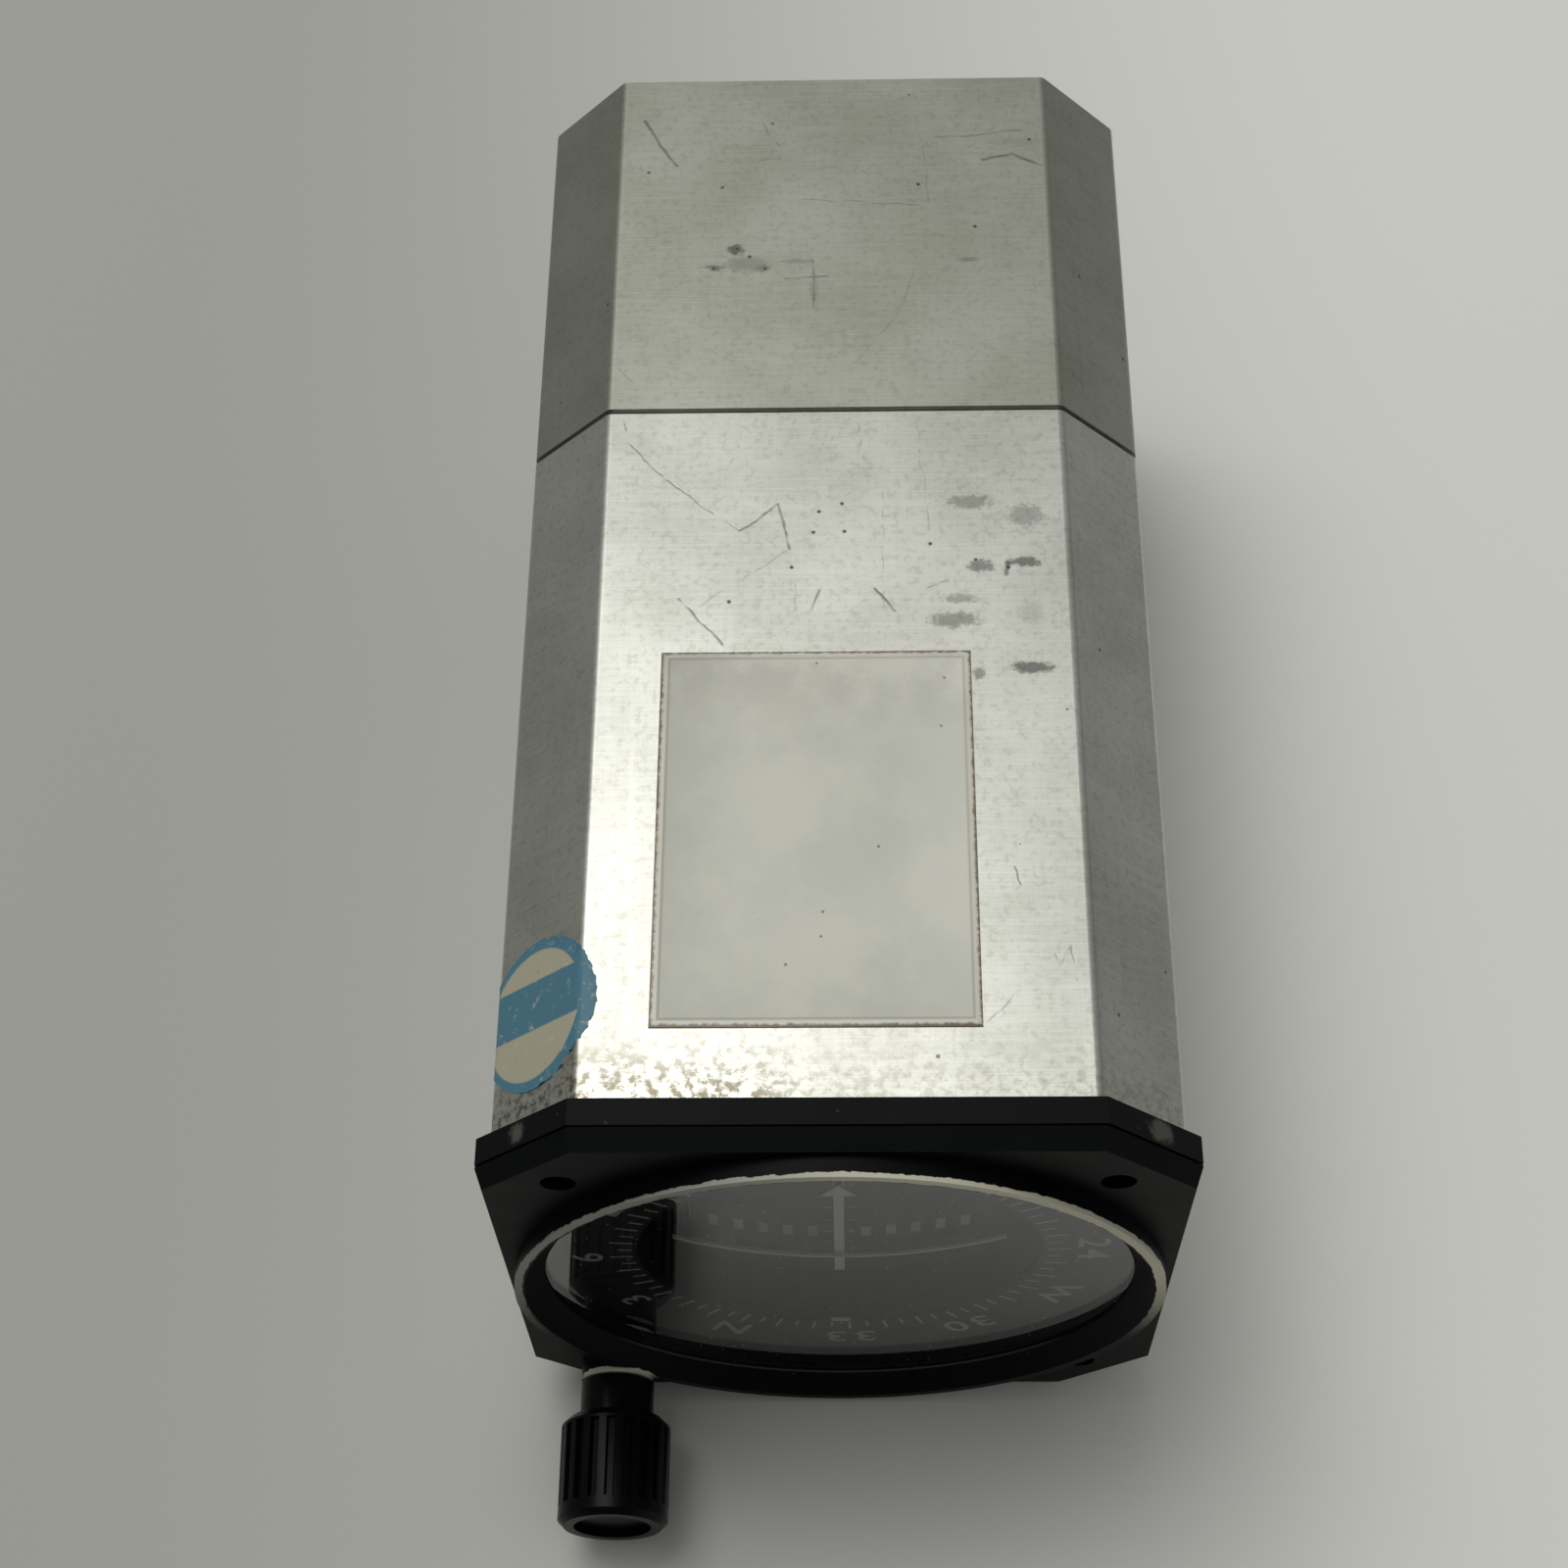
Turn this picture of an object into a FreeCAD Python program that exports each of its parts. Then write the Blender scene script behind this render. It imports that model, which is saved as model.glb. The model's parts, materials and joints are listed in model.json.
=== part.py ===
"""Course deviation indicator, a panel instrument for a 3-1/8 inch hole. Sizes in millimetres.

X points right as seen from the front, Y back into the panel and Z up. The origin is the
centre of the mounting face, the front of the square bezel that bears on the panel.
"""
import FreeCAD, Part
import math
import os
import re
import Sketcher
from FreeCAD import Placement, Rotation, Vector

# Driving dimensions

SIZES = {
    # Bezel: the square front plate, the round ring that fills the panel hole, the knob boss
    "bezel_width": 82.55,
    "bezel_corner_clip": 11.5,
    "bezel_thickness": 2.9,
    "bezel_edge_taper": 0.93,
    "edge_break": 0.2,
    "joint_groove_width": 0.35,
    "joint_groove_depth": 0.4,
    "ring_inset": 1.775,
    "ring_height": 2.54,
    "ring_rim_width": 1.2,
    "ring_wall": 3.6,
    "screw_inset": 9.84,
    "screw_clearance_radius": 2.05,
    "screw_thread_radius": 1.75,
    "boss_radius": 4.8,
    "boss_height": 2.9,
    # Lens and its seat
    "lens_setback": 0.3,
    "lens_thickness": 2.0,
    "lens_lap": 1.3,
    "lens_fit": 0.1,
    "clamp_thickness": 0.6,
    "clamp_lap": 0.4,
    # Mounting frame, the casting behind the bezel that carries the mechanism
    "flange_thickness": 3.2,
    "gear_side_gap": 1.1,
    "pinion_side_gap": 0.5,
    "collar_depth": 6.0,
    "collar_wall": 2.23,
    "web_thickness": 2.5,
    # Case: two folded cans of octagonal section with a joint between them
    "case_step": 1.545,
    "case_corner_clip": 10.5,
    "sheet_thickness": 0.8,
    "fold_radius": 1.3,
    "front_can_length": 96.4,
    "can_gap": 0.8,
    "rear_can_length": 57.9,
    "slip_fit": 0.1,
    "band_thickness": 1.0,
    "band_overlap": 6.0,
    "rear_plate_thickness": 1.6,
    # Knob and its shaft
    "knob_margin": 3.584,
    "knob_angle": 46.787,
    "shaft_radius": 1.5875,
    "running_fit": 0.04,
    "bushing_wall": 1.3,
    "knob_neck_radius": 4.785,
    "knob_neck_length": 4.9,
    "knob_gap": 0.3,
    "knob_radius": 7.125,
    "knob_length": 13.9,
    "knob_shoulder": 1.0,
    "knob_end_chamfer": 0.8,
    "knob_recess_radius": 5.0,
    "knob_recess_depth": 1.0,
    "flute_count": 20,
    "flute_width": 1.25,
    "flute_depth": 0.75,
    "flute_start": 1.4,
    "flute_end_land": 2.3,
    "knob_bore_depth": 10.0,
    # Azimuth card and the gears that turn it
    "card_setback": 4.8,
    "card_thickness": 0.5,
    "card_edge_gap": 0.2,
    "card_band": 11.0,
    "azimuth_teeth": 96,
    "card_pinion_teeth": 12,
    "azimuth_gear_front": 4.2,
    "azimuth_gear_width": 1.6,
    "rim_depth": 1.4,
    "gear_web_thickness": 0.5,
    "bearing_wall": 1.3,
    "hub_wall": 1.4,
    "hub_length": 3.4,
    "axial_play": 0.3,
    # Gear train to the resolver
    "train_module": 0.5,
    "train_pinion_teeth": 12,
    "idler_teeth": 36,
    "idler_pinion_teeth": 12,
    "resolver_teeth": 32,
    "train_front": 15.0,
    "train_width": 1.6,
    "idler_angle": 20.0,
    "resolver_angle": 25.0,
    "idler_pin_radius": 1.0,
    "resolver_shaft_radius": 1.2,
    "resolver_radius": 9.5,
    "resolver_length": 36.0,
    "resolver_wall": 3.2,
    "resolver_pilot_radius": 5.0,
    "gear_plate_gap": 0.9,
    "gear_plate_thickness": 1.6,
    "gear_plate_rise": 7.05,
    "gear_plate_side": 1.2,
    "gear_plate_low_gap": 4.2,
    "gear_plate_foot_gap": 3.0,
    "gear_plate_corner_gap": 1.4,
    "post_radius": 1.6,
    "post_across_inset": 3.2,
    "post_drop": 2.6,
    "low_post_reach": 5.0,
    "low_post_gap": 7.0,
    # Dial centre: a domed face that stays still inside the turning card
    "dome_radius": 80.0,
    "dome_setback": 7.6,
    "dome_pocket_margin": 4.8,
    "dome_pocket_gap": 0.4,
    "dome_edge_gap": 0.6,
    "dome_flange_lap": 4.1,
    "dome_flange_thickness": 1.0,
    "pointer_lap": 0.1,
    "pointer_length": 3.2,
    "pointer_width": 4.3,
    "pointer_setback": 3.8,
    "pointer_thickness": 0.4,
    "pointer_leg_width": 1.0,
    # Needles and their movements, hinged at the centre of the dome
    "needle_thickness": 0.4,
    "cdi_needle_setback": 5.9,
    "cdi_needle_width": 1.25,
    "cdi_needle_overrun": 0.5,
    "cdi_needle_bottom": -11.0,
    "gs_needle_setback": 5.2,
    "gs_needle_height": 0.6,
    "gs_bow_margin": 8.0,
    "gs_needle_inset": 3.5,
    "gs_rest_angle": 1.77,
    "cdi_travel": 10.5,
    "gs_travel": 8.0,
    "arm_width": 0.8,
    "arm_depth": 0.6,
    "arm_offset": 7.0,
    "arm_side_gap": 0.5,
    "cdi_movement_inset": 14.3,
    "gs_movement_outset": 2.1,
    "yoke_radius": 11.0,
    "yoke_bore_radius": 8.6,
    "magnet_radius": 6.0,
    "yoke_height": 8.0,
    "magnet_web": 3.0,
    "coil_width": 15.8,
    "coil_height": 11.8,
    "coil_section": 1.2,
    "coil_depth": 2.0,
    "pivot_radius": 0.5,
    "bracket_width": 8.0,
    "bracket_thickness": 1.2,
    "bracket_back": 2.0,
    "bracket_clearance": 8.8,
    "bracket_reach": 3.0,
    "balance_radius": 1.6,
    "balance_height": 3.0,
    "balance_reach": 6.4,
    "movement_plate_thickness": 2.0,
    # Warning flags and the to-from vane behind windows in the dome
    "flag_across": 3.2,
    "flag_up": 7.4,
    "to_from_across": 4.6,
    "to_from_up": -4.0,
    "flag_vane_setback": 11.6,
    "flag_vane_thickness": 0.3,
    "flag_vane_width": 6.4,
    "flag_vane_height": 4.0,
    "flag_arm_length": 4.6,
    "flag_staff_radius": 0.4,
    "flag_window_margin": 0.5,
    "flag_motor_radius": 3.4,
    "flag_motor_length": 7.0,
    # Rear: tie rods, circuit board and edge connector
    "rod_inset": 4.53,
    "rod_up": 22.0,
    "rod_radius": 1.6,
    "board_width": 58.0,
    "board_thickness": 1.6,
    "board_lead": 3.4,
    "bracket_foot_width": 6.0,
    "bracket_foot_height": 2.0,
    "tongue_width": 46.0,
    "tongue_length": 9.5,
    "tongue_slot_margin": 1.0,
    "contact_count": 12,
    "contact_pitch": 3.96,
    "contact_width": 2.0,
    "contact_thickness": 0.15,
    "transformer_width": 14.0,
    "transformer_height": 11.0,
    "capacitor_radius": 4.5,
    "capacitor_height": 12.0,
    "capacitor_pitch": 11.0,
    "package_width": 8.0,
    "package_pitch": 13.0,
    "package_height": 3.4,
    # Lamp housing at the bottom of the dial
    "lamp_cover_width": 6.0,
    "lamp_cover_gap": 0.3,
    "lamp_cover_height": 3.2,
    "lamp_cover_depth": 0.9,
}

# Places and sizes that follow from the driving dimensions

PLACES = {
    "bezel_half": "bezel_width / 2",
    "ring_radius": "bezel_half - ring_inset",
    "window_radius": "ring_radius - ring_wall",
    "clamp_radius": "ring_radius + clamp_lap",
    "bezel_back": "bezel_thickness",
    "groove_front": "bezel_thickness - joint_groove_width",
    "lens_back": "lens_setback + lens_thickness",
    "lens_radius": "window_radius + lens_lap",
    "clamp_back": "bezel_back + clamp_thickness",
    "frame_back": "bezel_back + flange_thickness",
    "collar_back": "frame_back + collar_depth",
    "web_front": "collar_back - web_thickness",
    "case_half": "bezel_half - case_step",
    "case_inner_half": "case_half - sheet_thickness",
    "sleeve_half": "case_half - sheet_thickness - slip_fit",
    "collar_cavity_radius": "sleeve_half - collar_wall",
    "rod_across": "case_half - rod_inset",
    "front_can_back": "frame_back + front_can_length",
    "rear_can_front": "front_can_back + can_gap",
    "case_back": "rear_can_front + rear_can_length",
    "rear_plate_front": "case_back - rear_plate_thickness",
    "ring_front": "0 - ring_height",
    "boss_front": "0 - boss_height",
    "knob_distance": "ring_radius + knob_margin",
    "knob_across": "0 - knob_distance * cos(knob_angle)",
    "knob_up": "0 - knob_distance * sin(knob_angle)",
    "knob_neck_back": "boss_front - knob_gap",
    "knob_body_back": "knob_neck_back - knob_neck_length",
    "knob_front": "knob_body_back - knob_length",
    "flute_back": "knob_body_back - flute_start",
    "flute_front": "knob_front + flute_end_land",
    "bushing_radius": "shaft_radius + running_fit + bushing_wall",
    "shaft_bore_radius": "shaft_radius + running_fit",
    "screw_half": "bezel_half - screw_inset",
    "azimuth_gear_back": "azimuth_gear_front + azimuth_gear_width",
    "azimuth_module": "2 * knob_distance / (azimuth_teeth + card_pinion_teeth)",
    "azimuth_pitch_radius": "azimuth_teeth * azimuth_module / 2",
    "gear_cavity_radius": "azimuth_pitch_radius + gear_side_gap",
    "pinion_pocket_radius": "(card_pinion_teeth / 2 + 1) * azimuth_module + pinion_side_gap",
    "rim_inner_radius": "azimuth_pitch_radius - rim_depth",
    "card_outer_radius": "rim_inner_radius - card_edge_gap",
    "card_opening_radius": "window_radius - card_band",
    "card_back": "card_setback + card_thickness",
    "bearing_radius": "card_opening_radius + bearing_wall",
    "hub_radius": "bearing_radius + running_fit",
    "hub_outer_radius": "hub_radius + hub_wall",
    "bearing_front": "card_back + axial_play",
    "idler_distance": "(train_pinion_teeth + idler_teeth) * train_module / 2",
    "idler_across": "knob_across + idler_distance * cos(idler_angle)",
    "idler_up": "knob_up + idler_distance * sin(idler_angle)",
    "resolver_distance": "(idler_pinion_teeth + resolver_teeth) * train_module / 2",
    "resolver_across": "idler_across + resolver_distance * cos(resolver_angle)",
    "resolver_up": "idler_up + resolver_distance * sin(resolver_angle)",
    "train_back": "train_front + train_width",
    "second_front": "train_back + axial_play * 2",
    "second_back": "second_front + train_width",
    "gear_plate_front": "second_back + axial_play + gear_plate_gap",
    "gear_plate_back": "gear_plate_front + gear_plate_thickness",
    "gear_plate_top": "resolver_up + gear_plate_rise",
    "dome_flange_front": "collar_back",
    "dome_flange_back": "collar_back + dome_flange_thickness",
    "dome_edge_radius": "card_opening_radius - dome_edge_gap",
    "dome_flange_radius": "card_opening_radius + dome_flange_lap",
    "dome_pocket_radius": "flag_across + flag_arm_length + flag_vane_width + dome_pocket_margin",
    "dome_pocket_front": "flag_vane_setback - dome_pocket_gap",
    "hinge_setback": "dome_setback + dome_radius",
    "pointer_outer_radius": "dome_edge_radius + pointer_lap",
    "pointer_inner_radius": "pointer_outer_radius - pointer_length",
    "pointer_back": "pointer_setback + pointer_thickness",
    "flag_plate_back": "dome_flange_back + dome_flange_thickness",
    "coil_half": "coil_height / 2",
    "bracket_outer": "bracket_clearance + bracket_thickness",
    "bracket_depth": "yoke_radius + bracket_back",
    "movement_plate_front": "hinge_setback + bracket_depth",
    "movement_plate_back": "movement_plate_front + movement_plate_thickness",
    "cdi_movement_height": "dome_edge_radius - cdi_movement_inset",
    "gs_movement_across": "0 - dome_edge_radius - gs_movement_outset",
    "gs_needle_bow": "dome_radius + gs_bow_margin",
    "gs_needle_span": "2 * (dome_edge_radius - gs_needle_inset)",
    "arm_height": "cdi_movement_height + arm_offset",
    "cdi_needle_top": "arm_height + cdi_needle_overrun",
    "cdi_needle_bow": "hinge_setback - cdi_needle_setback",
    "gs_arm_across": "gs_movement_across + arm_offset",
    "gs_bow_centre": "gs_needle_setback + gs_needle_bow - hinge_setback",
    "flag_vane_back": "flag_vane_setback + flag_vane_thickness",
    "board_front": "movement_plate_back + board_lead",
    "board_shoulder": "rear_plate_front - axial_play",
    "board_run": "board_shoulder - board_front",
    "board_face": "board_thickness / 2",
    "board_back": "case_back + tongue_length",
    "band_front": "front_can_back - band_overlap",
    "band_back": "rear_can_front + band_overlap",
    "lamp_cover_outer": "rim_inner_radius - lamp_cover_gap",
    "lamp_cover_inner": "lamp_cover_outer - lamp_cover_height",
}


def formula(text):
    """The text with every derived place written out and the sheet's name before every size."""
    def expand(match):
        word = match.group()
        if word in SIZES:
            return "Sizes." + word
        if word in PLACES:
            return "(" + formula(PLACES[word]) + ")"
        return word
    return re.sub(r"[a-z][a-z_]*", expand, str(text))


def value(text):
    """The number that a formula gives with the sheet's sizes."""
    result = sheet.evalExpression(formula(text))
    return float(getattr(result, "Value", result))


doc = FreeCAD.newDocument("course_deviation_indicator")
sheet = doc.addObject("Spreadsheet::Sheet", "Sizes")
for row, (name, number) in enumerate(SIZES.items(), start=1):
    sheet.set(f"A{row}", name)
    sheet.set(f"B{row}", str(number))
    sheet.setAlias(f"B{row}", name)
doc.recompute()

sub_parts = []


# Sketches and features

def body_for(name):
    """An empty body that will be written as one sub-part."""
    body = doc.addObject("PartDesign::Body", name)
    body.Label = name
    sub_parts.append(body)
    return body


def sketch_on(body, plane, lift="0"):
    """A sketch on one of the body's own planes, lifted along the axis that the plane faces."""
    sketch = body.newObject("Sketcher::SketchObject", "outline")
    planes = {feature.Role: feature for feature in body.Origin.OriginFeatures}
    sketch.AttachmentSupport = [(planes[plane], "")]
    sketch.MapMode = "FlatFace"
    sign = "-" if plane == "XZ_Plane" else ""
    sketch.setExpression("AttachmentOffset.Base.z", f"{sign}({formula(lift)})")
    return sketch


def fix_point(sketch, geometry, point, across, up):
    """Tie a point's two coordinates to formulas."""
    for kind, text in (("DistanceX", across), ("DistanceY", up)):
        constraint = Sketcher.Constraint(kind, -1, 1, geometry, point, value(text))
        number = sketch.addConstraint(constraint)
        sketch.setExpression(f"Constraints[{number}]", formula(text))


def outline(sketch, corners):
    """A closed outline of straight lines through corners given as pairs of formulas."""
    points = [Vector(value(across), value(up), 0) for across, up in corners]
    first = sketch.GeometryCount
    count = len(corners)
    for i in range(count):
        sketch.addGeometry(Part.LineSegment(points[i], points[(i + 1) % count]))
    for i in range(count):
        following = first + (i + 1) % count
        sketch.addConstraint(Sketcher.Constraint("Coincident", first + i, 2, following, 1))
    for i, (across, up) in enumerate(corners):
        fix_point(sketch, first + i, 1, across, up)


def circle(sketch, radius, across="0", up="0"):
    """A circle whose radius and centre are formulas."""
    centre = Vector(value(across), value(up), 0)
    number = sketch.addGeometry(Part.Circle(centre, Vector(0, 0, 1), value(radius)))
    fixed = sketch.addConstraint(Sketcher.Constraint("Radius", number, value(radius)))
    sketch.setExpression(f"Constraints[{fixed}]", formula(radius))
    fix_point(sketch, number, 3, across, up)


def draw(sketch, shapes):
    """Draw outlines (lists of corners) and circles (tuples of radius and centre)."""
    for shape in shapes:
        if isinstance(shape, list):
            outline(sketch, shape)
        else:
            circle(sketch, *shape)


def pad(body, shapes, front, back):
    """A slab between two planes across the Y axis."""
    sketch = sketch_on(body, "XZ_Plane", front)
    draw(sketch, shapes)
    feature = body.newObject("PartDesign::Pad", "slab")
    feature.Profile = sketch
    feature.setExpression("Length", f"({formula(back)}) - ({formula(front)})")
    feature.Reversed = True
    doc.recompute()
    return feature


def cut(body, shapes, front, back):
    """A pocket between two planes across the Y axis."""
    before = body.Tip.Shape.Volume
    sketch = sketch_on(body, "XZ_Plane", front)
    draw(sketch, shapes)
    feature = body.newObject("PartDesign::Pocket", "pocket")
    feature.Profile = sketch
    feature.setExpression("Length", f"({formula(back)}) - ({formula(front)})")
    doc.recompute()
    if feature.Shape.Volume >= before:
        raise RuntimeError(f"a pocket in {body.Label} cuts nothing")
    return feature


def revolve(body, profile, groove=False):
    """Turn a profile of (radius, y) corners about the body's Y axis."""
    sketch = sketch_on(body, "XY_Plane")
    outline(sketch, profile)
    feature = body.newObject("PartDesign::Groove" if groove else "PartDesign::Revolution", "turned")
    feature.Profile = sketch
    feature.ReferenceAxis = (sketch, ["V_Axis"])
    feature.Angle = 360
    doc.recompute()
    return feature


def turned(name, profile, across="0", up="0"):
    """A turned body with its axis along Y."""
    body = body_for(name)
    revolve(body, profile)
    place(body, across, "0", up)
    return body


def place(item, across="0", back="0", up="0"):
    """Tie an object's place to formulas."""
    for axis, text in (("x", across), ("y", back), ("z", up)):
        item.setExpression(f"Placement.Base.{axis}", formula(text))


def octagon(half, clip):
    """The eight corners of a square with clipped corners."""
    near = f"({half}) - ({clip})"
    pairs = [(near, half), (half, near)]
    corners = []
    for side_x, side_z, order in ((1, 1, 1), (1, -1, -1), (-1, -1, 1), (-1, 1, -1)):
        for across, up in pairs[::order]:
            corners.append((f"{side_x} * ({across})", f"{side_z} * ({up})"))
    return corners


def inner_clip(inset, clip="case_corner_clip"):
    """The clip of an octagon that lies the same distance inside another on every side."""
    return f"({clip} - (2 - sqrt(2)) * ({inset}))"


def rectangle(left, right, bottom, top):
    return [(left, bottom), (right, bottom), (right, top), (left, top)]


def round_edges(body, radius, wanted):
    """Round the edges of the body's last feature that a test picks."""
    base = body.Tip
    names = [f"Edge{i}" for i, edge in enumerate(base.Shape.Edges, start=1) if wanted(edge)]
    fillet = body.newObject("PartDesign::Fillet", "rounding")
    fillet.Base = (base, names)
    fillet.setExpression("Radius", formula(radius))
    doc.recompute()
    return fillet


def runs_back(edge):
    """True for a straight edge along Y."""
    if edge.Curve.TypeId != "Part::GeomLine":
        return False
    start, end = edge.Vertexes[0].Point, edge.Vertexes[-1].Point
    return math.hypot(end.x - start.x, end.z - start.z) < 1e-6


# Primitives and booleans

def box(left, right, front, back, bottom, top):
    """A block between six planes."""
    item = doc.addObject("Part::Box", "block")
    for name, low, high in (("Length", left, right), ("Width", front, back), ("Height", bottom, top)):
        item.setExpression(name, f"({formula(high)}) - ({formula(low)})")
    place(item, left, front, bottom)
    return item


def rod(radius, start, end, axis="y", first="0", second="0"):
    """A round bar along an axis. first and second place it on the two other axes in order."""
    item = doc.addObject("Part::Cylinder", "bar")
    item.setExpression("Radius", formula(radius))
    item.setExpression("Height", f"({formula(end)}) - ({formula(start)})")
    turns = {"x": (Vector(0, 1, 0), 90), "y": (Vector(1, 0, 0), -90), "z": (Vector(0, 0, 1), 0)}
    item.Placement = Placement(Vector(), Rotation(*turns[axis]))
    where = {"x": (start, first, second), "y": (first, start, second), "z": (first, second, start)}
    place(item, *where[axis])
    return item


def fused(items):
    item = doc.addObject("Part::MultiFuse", "joined")
    item.Shapes = items
    return item


def common(first, second):
    item = doc.addObject("Part::MultiCommon", "shared")
    item.Shapes = [first, second]
    return item


def without(base, tools):
    """The base with one or more tools cut away."""
    item = doc.addObject("Part::Cut", "remainder")
    item.Base = base
    item.Tool = tools[0] if len(tools) == 1 else fused(tools)
    return item


def group(items):
    """Separate solids that belong to one sub-part."""
    item = doc.addObject("Part::Compound", "set")
    item.Links = items
    return item


def named(item, name):
    """Make an object a sub-part with its own name."""
    item.Label = name
    sub_parts.append(item)
    return item


# Bezel and lens

def make_bezel():
    bezel = body_for("bezel")
    sketch = sketch_on(bezel, "XZ_Plane", "groove_front")
    draw(sketch, [octagon("bezel_half", "bezel_corner_clip")])
    plate = bezel.newObject("PartDesign::Pad", "plate")
    plate.Profile = sketch
    plate.setExpression("Length", formula("groove_front"))
    plate.setExpression("TaperAngle", formula("-atan(bezel_edge_taper / groove_front)"))
    doc.recompute()
    spigot = octagon("bezel_half - joint_groove_depth",
                     inner_clip("joint_groove_depth", "bezel_corner_clip"))
    pad(bezel, [spigot], "bezel_back / 2", "bezel_back")
    pad(bezel, [("ring_radius",)], "ring_front", "bezel_back / 2")
    pad(bezel, [("boss_radius", "knob_across", "knob_up")], "boss_front", "bezel_back / 2")
    rim = "ring_radius - ring_rim_width"
    revolve(bezel, [
        ("0", "ring_front"), (rim, "ring_front"), ("window_radius", "0"),
        ("window_radius", "lens_setback"), ("lens_radius + lens_fit", "lens_setback"),
        ("lens_radius + lens_fit", "bezel_back"), ("0", "bezel_back"),
    ], groove=True)
    screws = [("screw_clearance_radius", across, up) for across, up in SCREW_CORNERS]
    cut(bezel, screws, "0", "bezel_back")
    cut(bezel, [("bushing_radius", "knob_across", "knob_up")], "boss_front", "bezel_back")


SCREW_CORNERS = (("0 - screw_half", "screw_half"), ("screw_half", "screw_half"),
                 ("screw_half", "0 - screw_half"))


def make_lens():
    edge = "lens_radius - edge_break"
    turned("lens", [
        ("0", "lens_setback"), ("lens_radius", "lens_setback"),
        ("lens_radius", "lens_back - edge_break"), (edge, "lens_back"), ("0", "lens_back"),
    ])
    for name, inner, outer, front, back in (
            ("lens_gasket", "window_radius + lens_fit", "lens_radius", "lens_back", "bezel_back"),
            ("lens_clamp_ring", "window_radius", "clamp_radius", "bezel_back", "clamp_back")):
        ring = body_for(name)
        pad(ring, [(outer,), (inner,)], front, back)


# Mounting frame

def make_mounting_frame():
    frame = body_for("mounting_frame")
    pad(frame, [octagon("bezel_half", "bezel_corner_clip")], "bezel_back", "frame_back")
    collar = octagon("sleeve_half", inner_clip("sheet_thickness + slip_fit"))
    pad(frame, [collar], "frame_back - flange_thickness / 2", "collar_back")
    revolve(frame, [
        ("0", "bezel_back"), ("clamp_radius + lens_fit", "bezel_back"),
        ("clamp_radius + lens_fit", "clamp_back"), ("gear_cavity_radius", "clamp_back"),
        ("gear_cavity_radius", "frame_back"), ("collar_cavity_radius", "frame_back"),
        ("collar_cavity_radius", "web_front"), ("bearing_radius", "web_front"),
        ("bearing_radius", "collar_back"), ("0", "collar_back"),
    ], groove=True)
    cut(frame, [("pinion_pocket_radius", "knob_across", "knob_up")], "bezel_back", "frame_back")
    screws = [("screw_thread_radius", across, up) for across, up in SCREW_CORNERS]
    cut(frame, screws, "bezel_back", "collar_back")
    cut(frame, [("bushing_radius", "knob_across", "knob_up")], "frame_back", "collar_back")


# Case

def make_cans():
    outer = octagon("case_half", "case_corner_clip")
    inner = octagon("case_inner_half", inner_clip("sheet_thickness"))
    front_can = body_for("front_can")
    pad(front_can, [outer, inner], "frame_back", "front_can_back")
    round_edges(front_can, "fold_radius", lambda edge: runs_back(edge) and is_outer_fold(edge))
    rear_can = body_for("rear_can")
    pad(rear_can, [outer, inner], "rear_can_front", "case_back")
    round_edges(rear_can, "fold_radius", lambda edge: runs_back(edge) and is_outer_fold(edge))
    band = body_for("joint_band")
    sleeve = octagon("sleeve_half", inner_clip("sheet_thickness + slip_fit"))
    hollow = octagon("sleeve_half - band_thickness",
                     inner_clip("sheet_thickness + slip_fit + band_thickness"))
    pad(band, [sleeve, hollow], "band_front", "band_back")


def is_outer_fold(edge):
    """True where an edge along Y lies on the outside of the case."""
    point = edge.Vertexes[0].Point
    return max(abs(point.x), abs(point.z)) > value("case_half - sheet_thickness / 2")


def make_rear_plate():
    plate = body_for("rear_plate")
    outer = octagon("sleeve_half", inner_clip("sheet_thickness + slip_fit"))
    slot = rectangle("0 - tongue_width / 2 - tongue_slot_margin", "tongue_width / 2 + tongue_slot_margin",
                     "0 - board_thickness / 2 - tongue_slot_margin",
                     "board_thickness / 2 + tongue_slot_margin")
    rods = [("rod_radius + slip_fit", across, up) for across, up in ROD_PLACES]
    pad(plate, [outer, slot] + rods, "rear_plate_front", "case_back")


ROD_PLACES = [(f"{side_x} * rod_across", f"{side_z} * rod_up")
              for side_x in (-1, 1) for side_z in (-1, 1)]


def make_tie_rods():
    rods = [rod("rod_radius", "collar_back", "case_back", "y", across, up) for across, up in ROD_PLACES]
    named(group(rods), "tie_rods")
    nuts = [rod("rod_radius * 2", "case_back", "case_back + rod_radius * 1.4", "y", across, up)
            for across, up in ROD_PLACES]
    named(group(nuts), "rear_nuts")


# Knob and shaft

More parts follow.
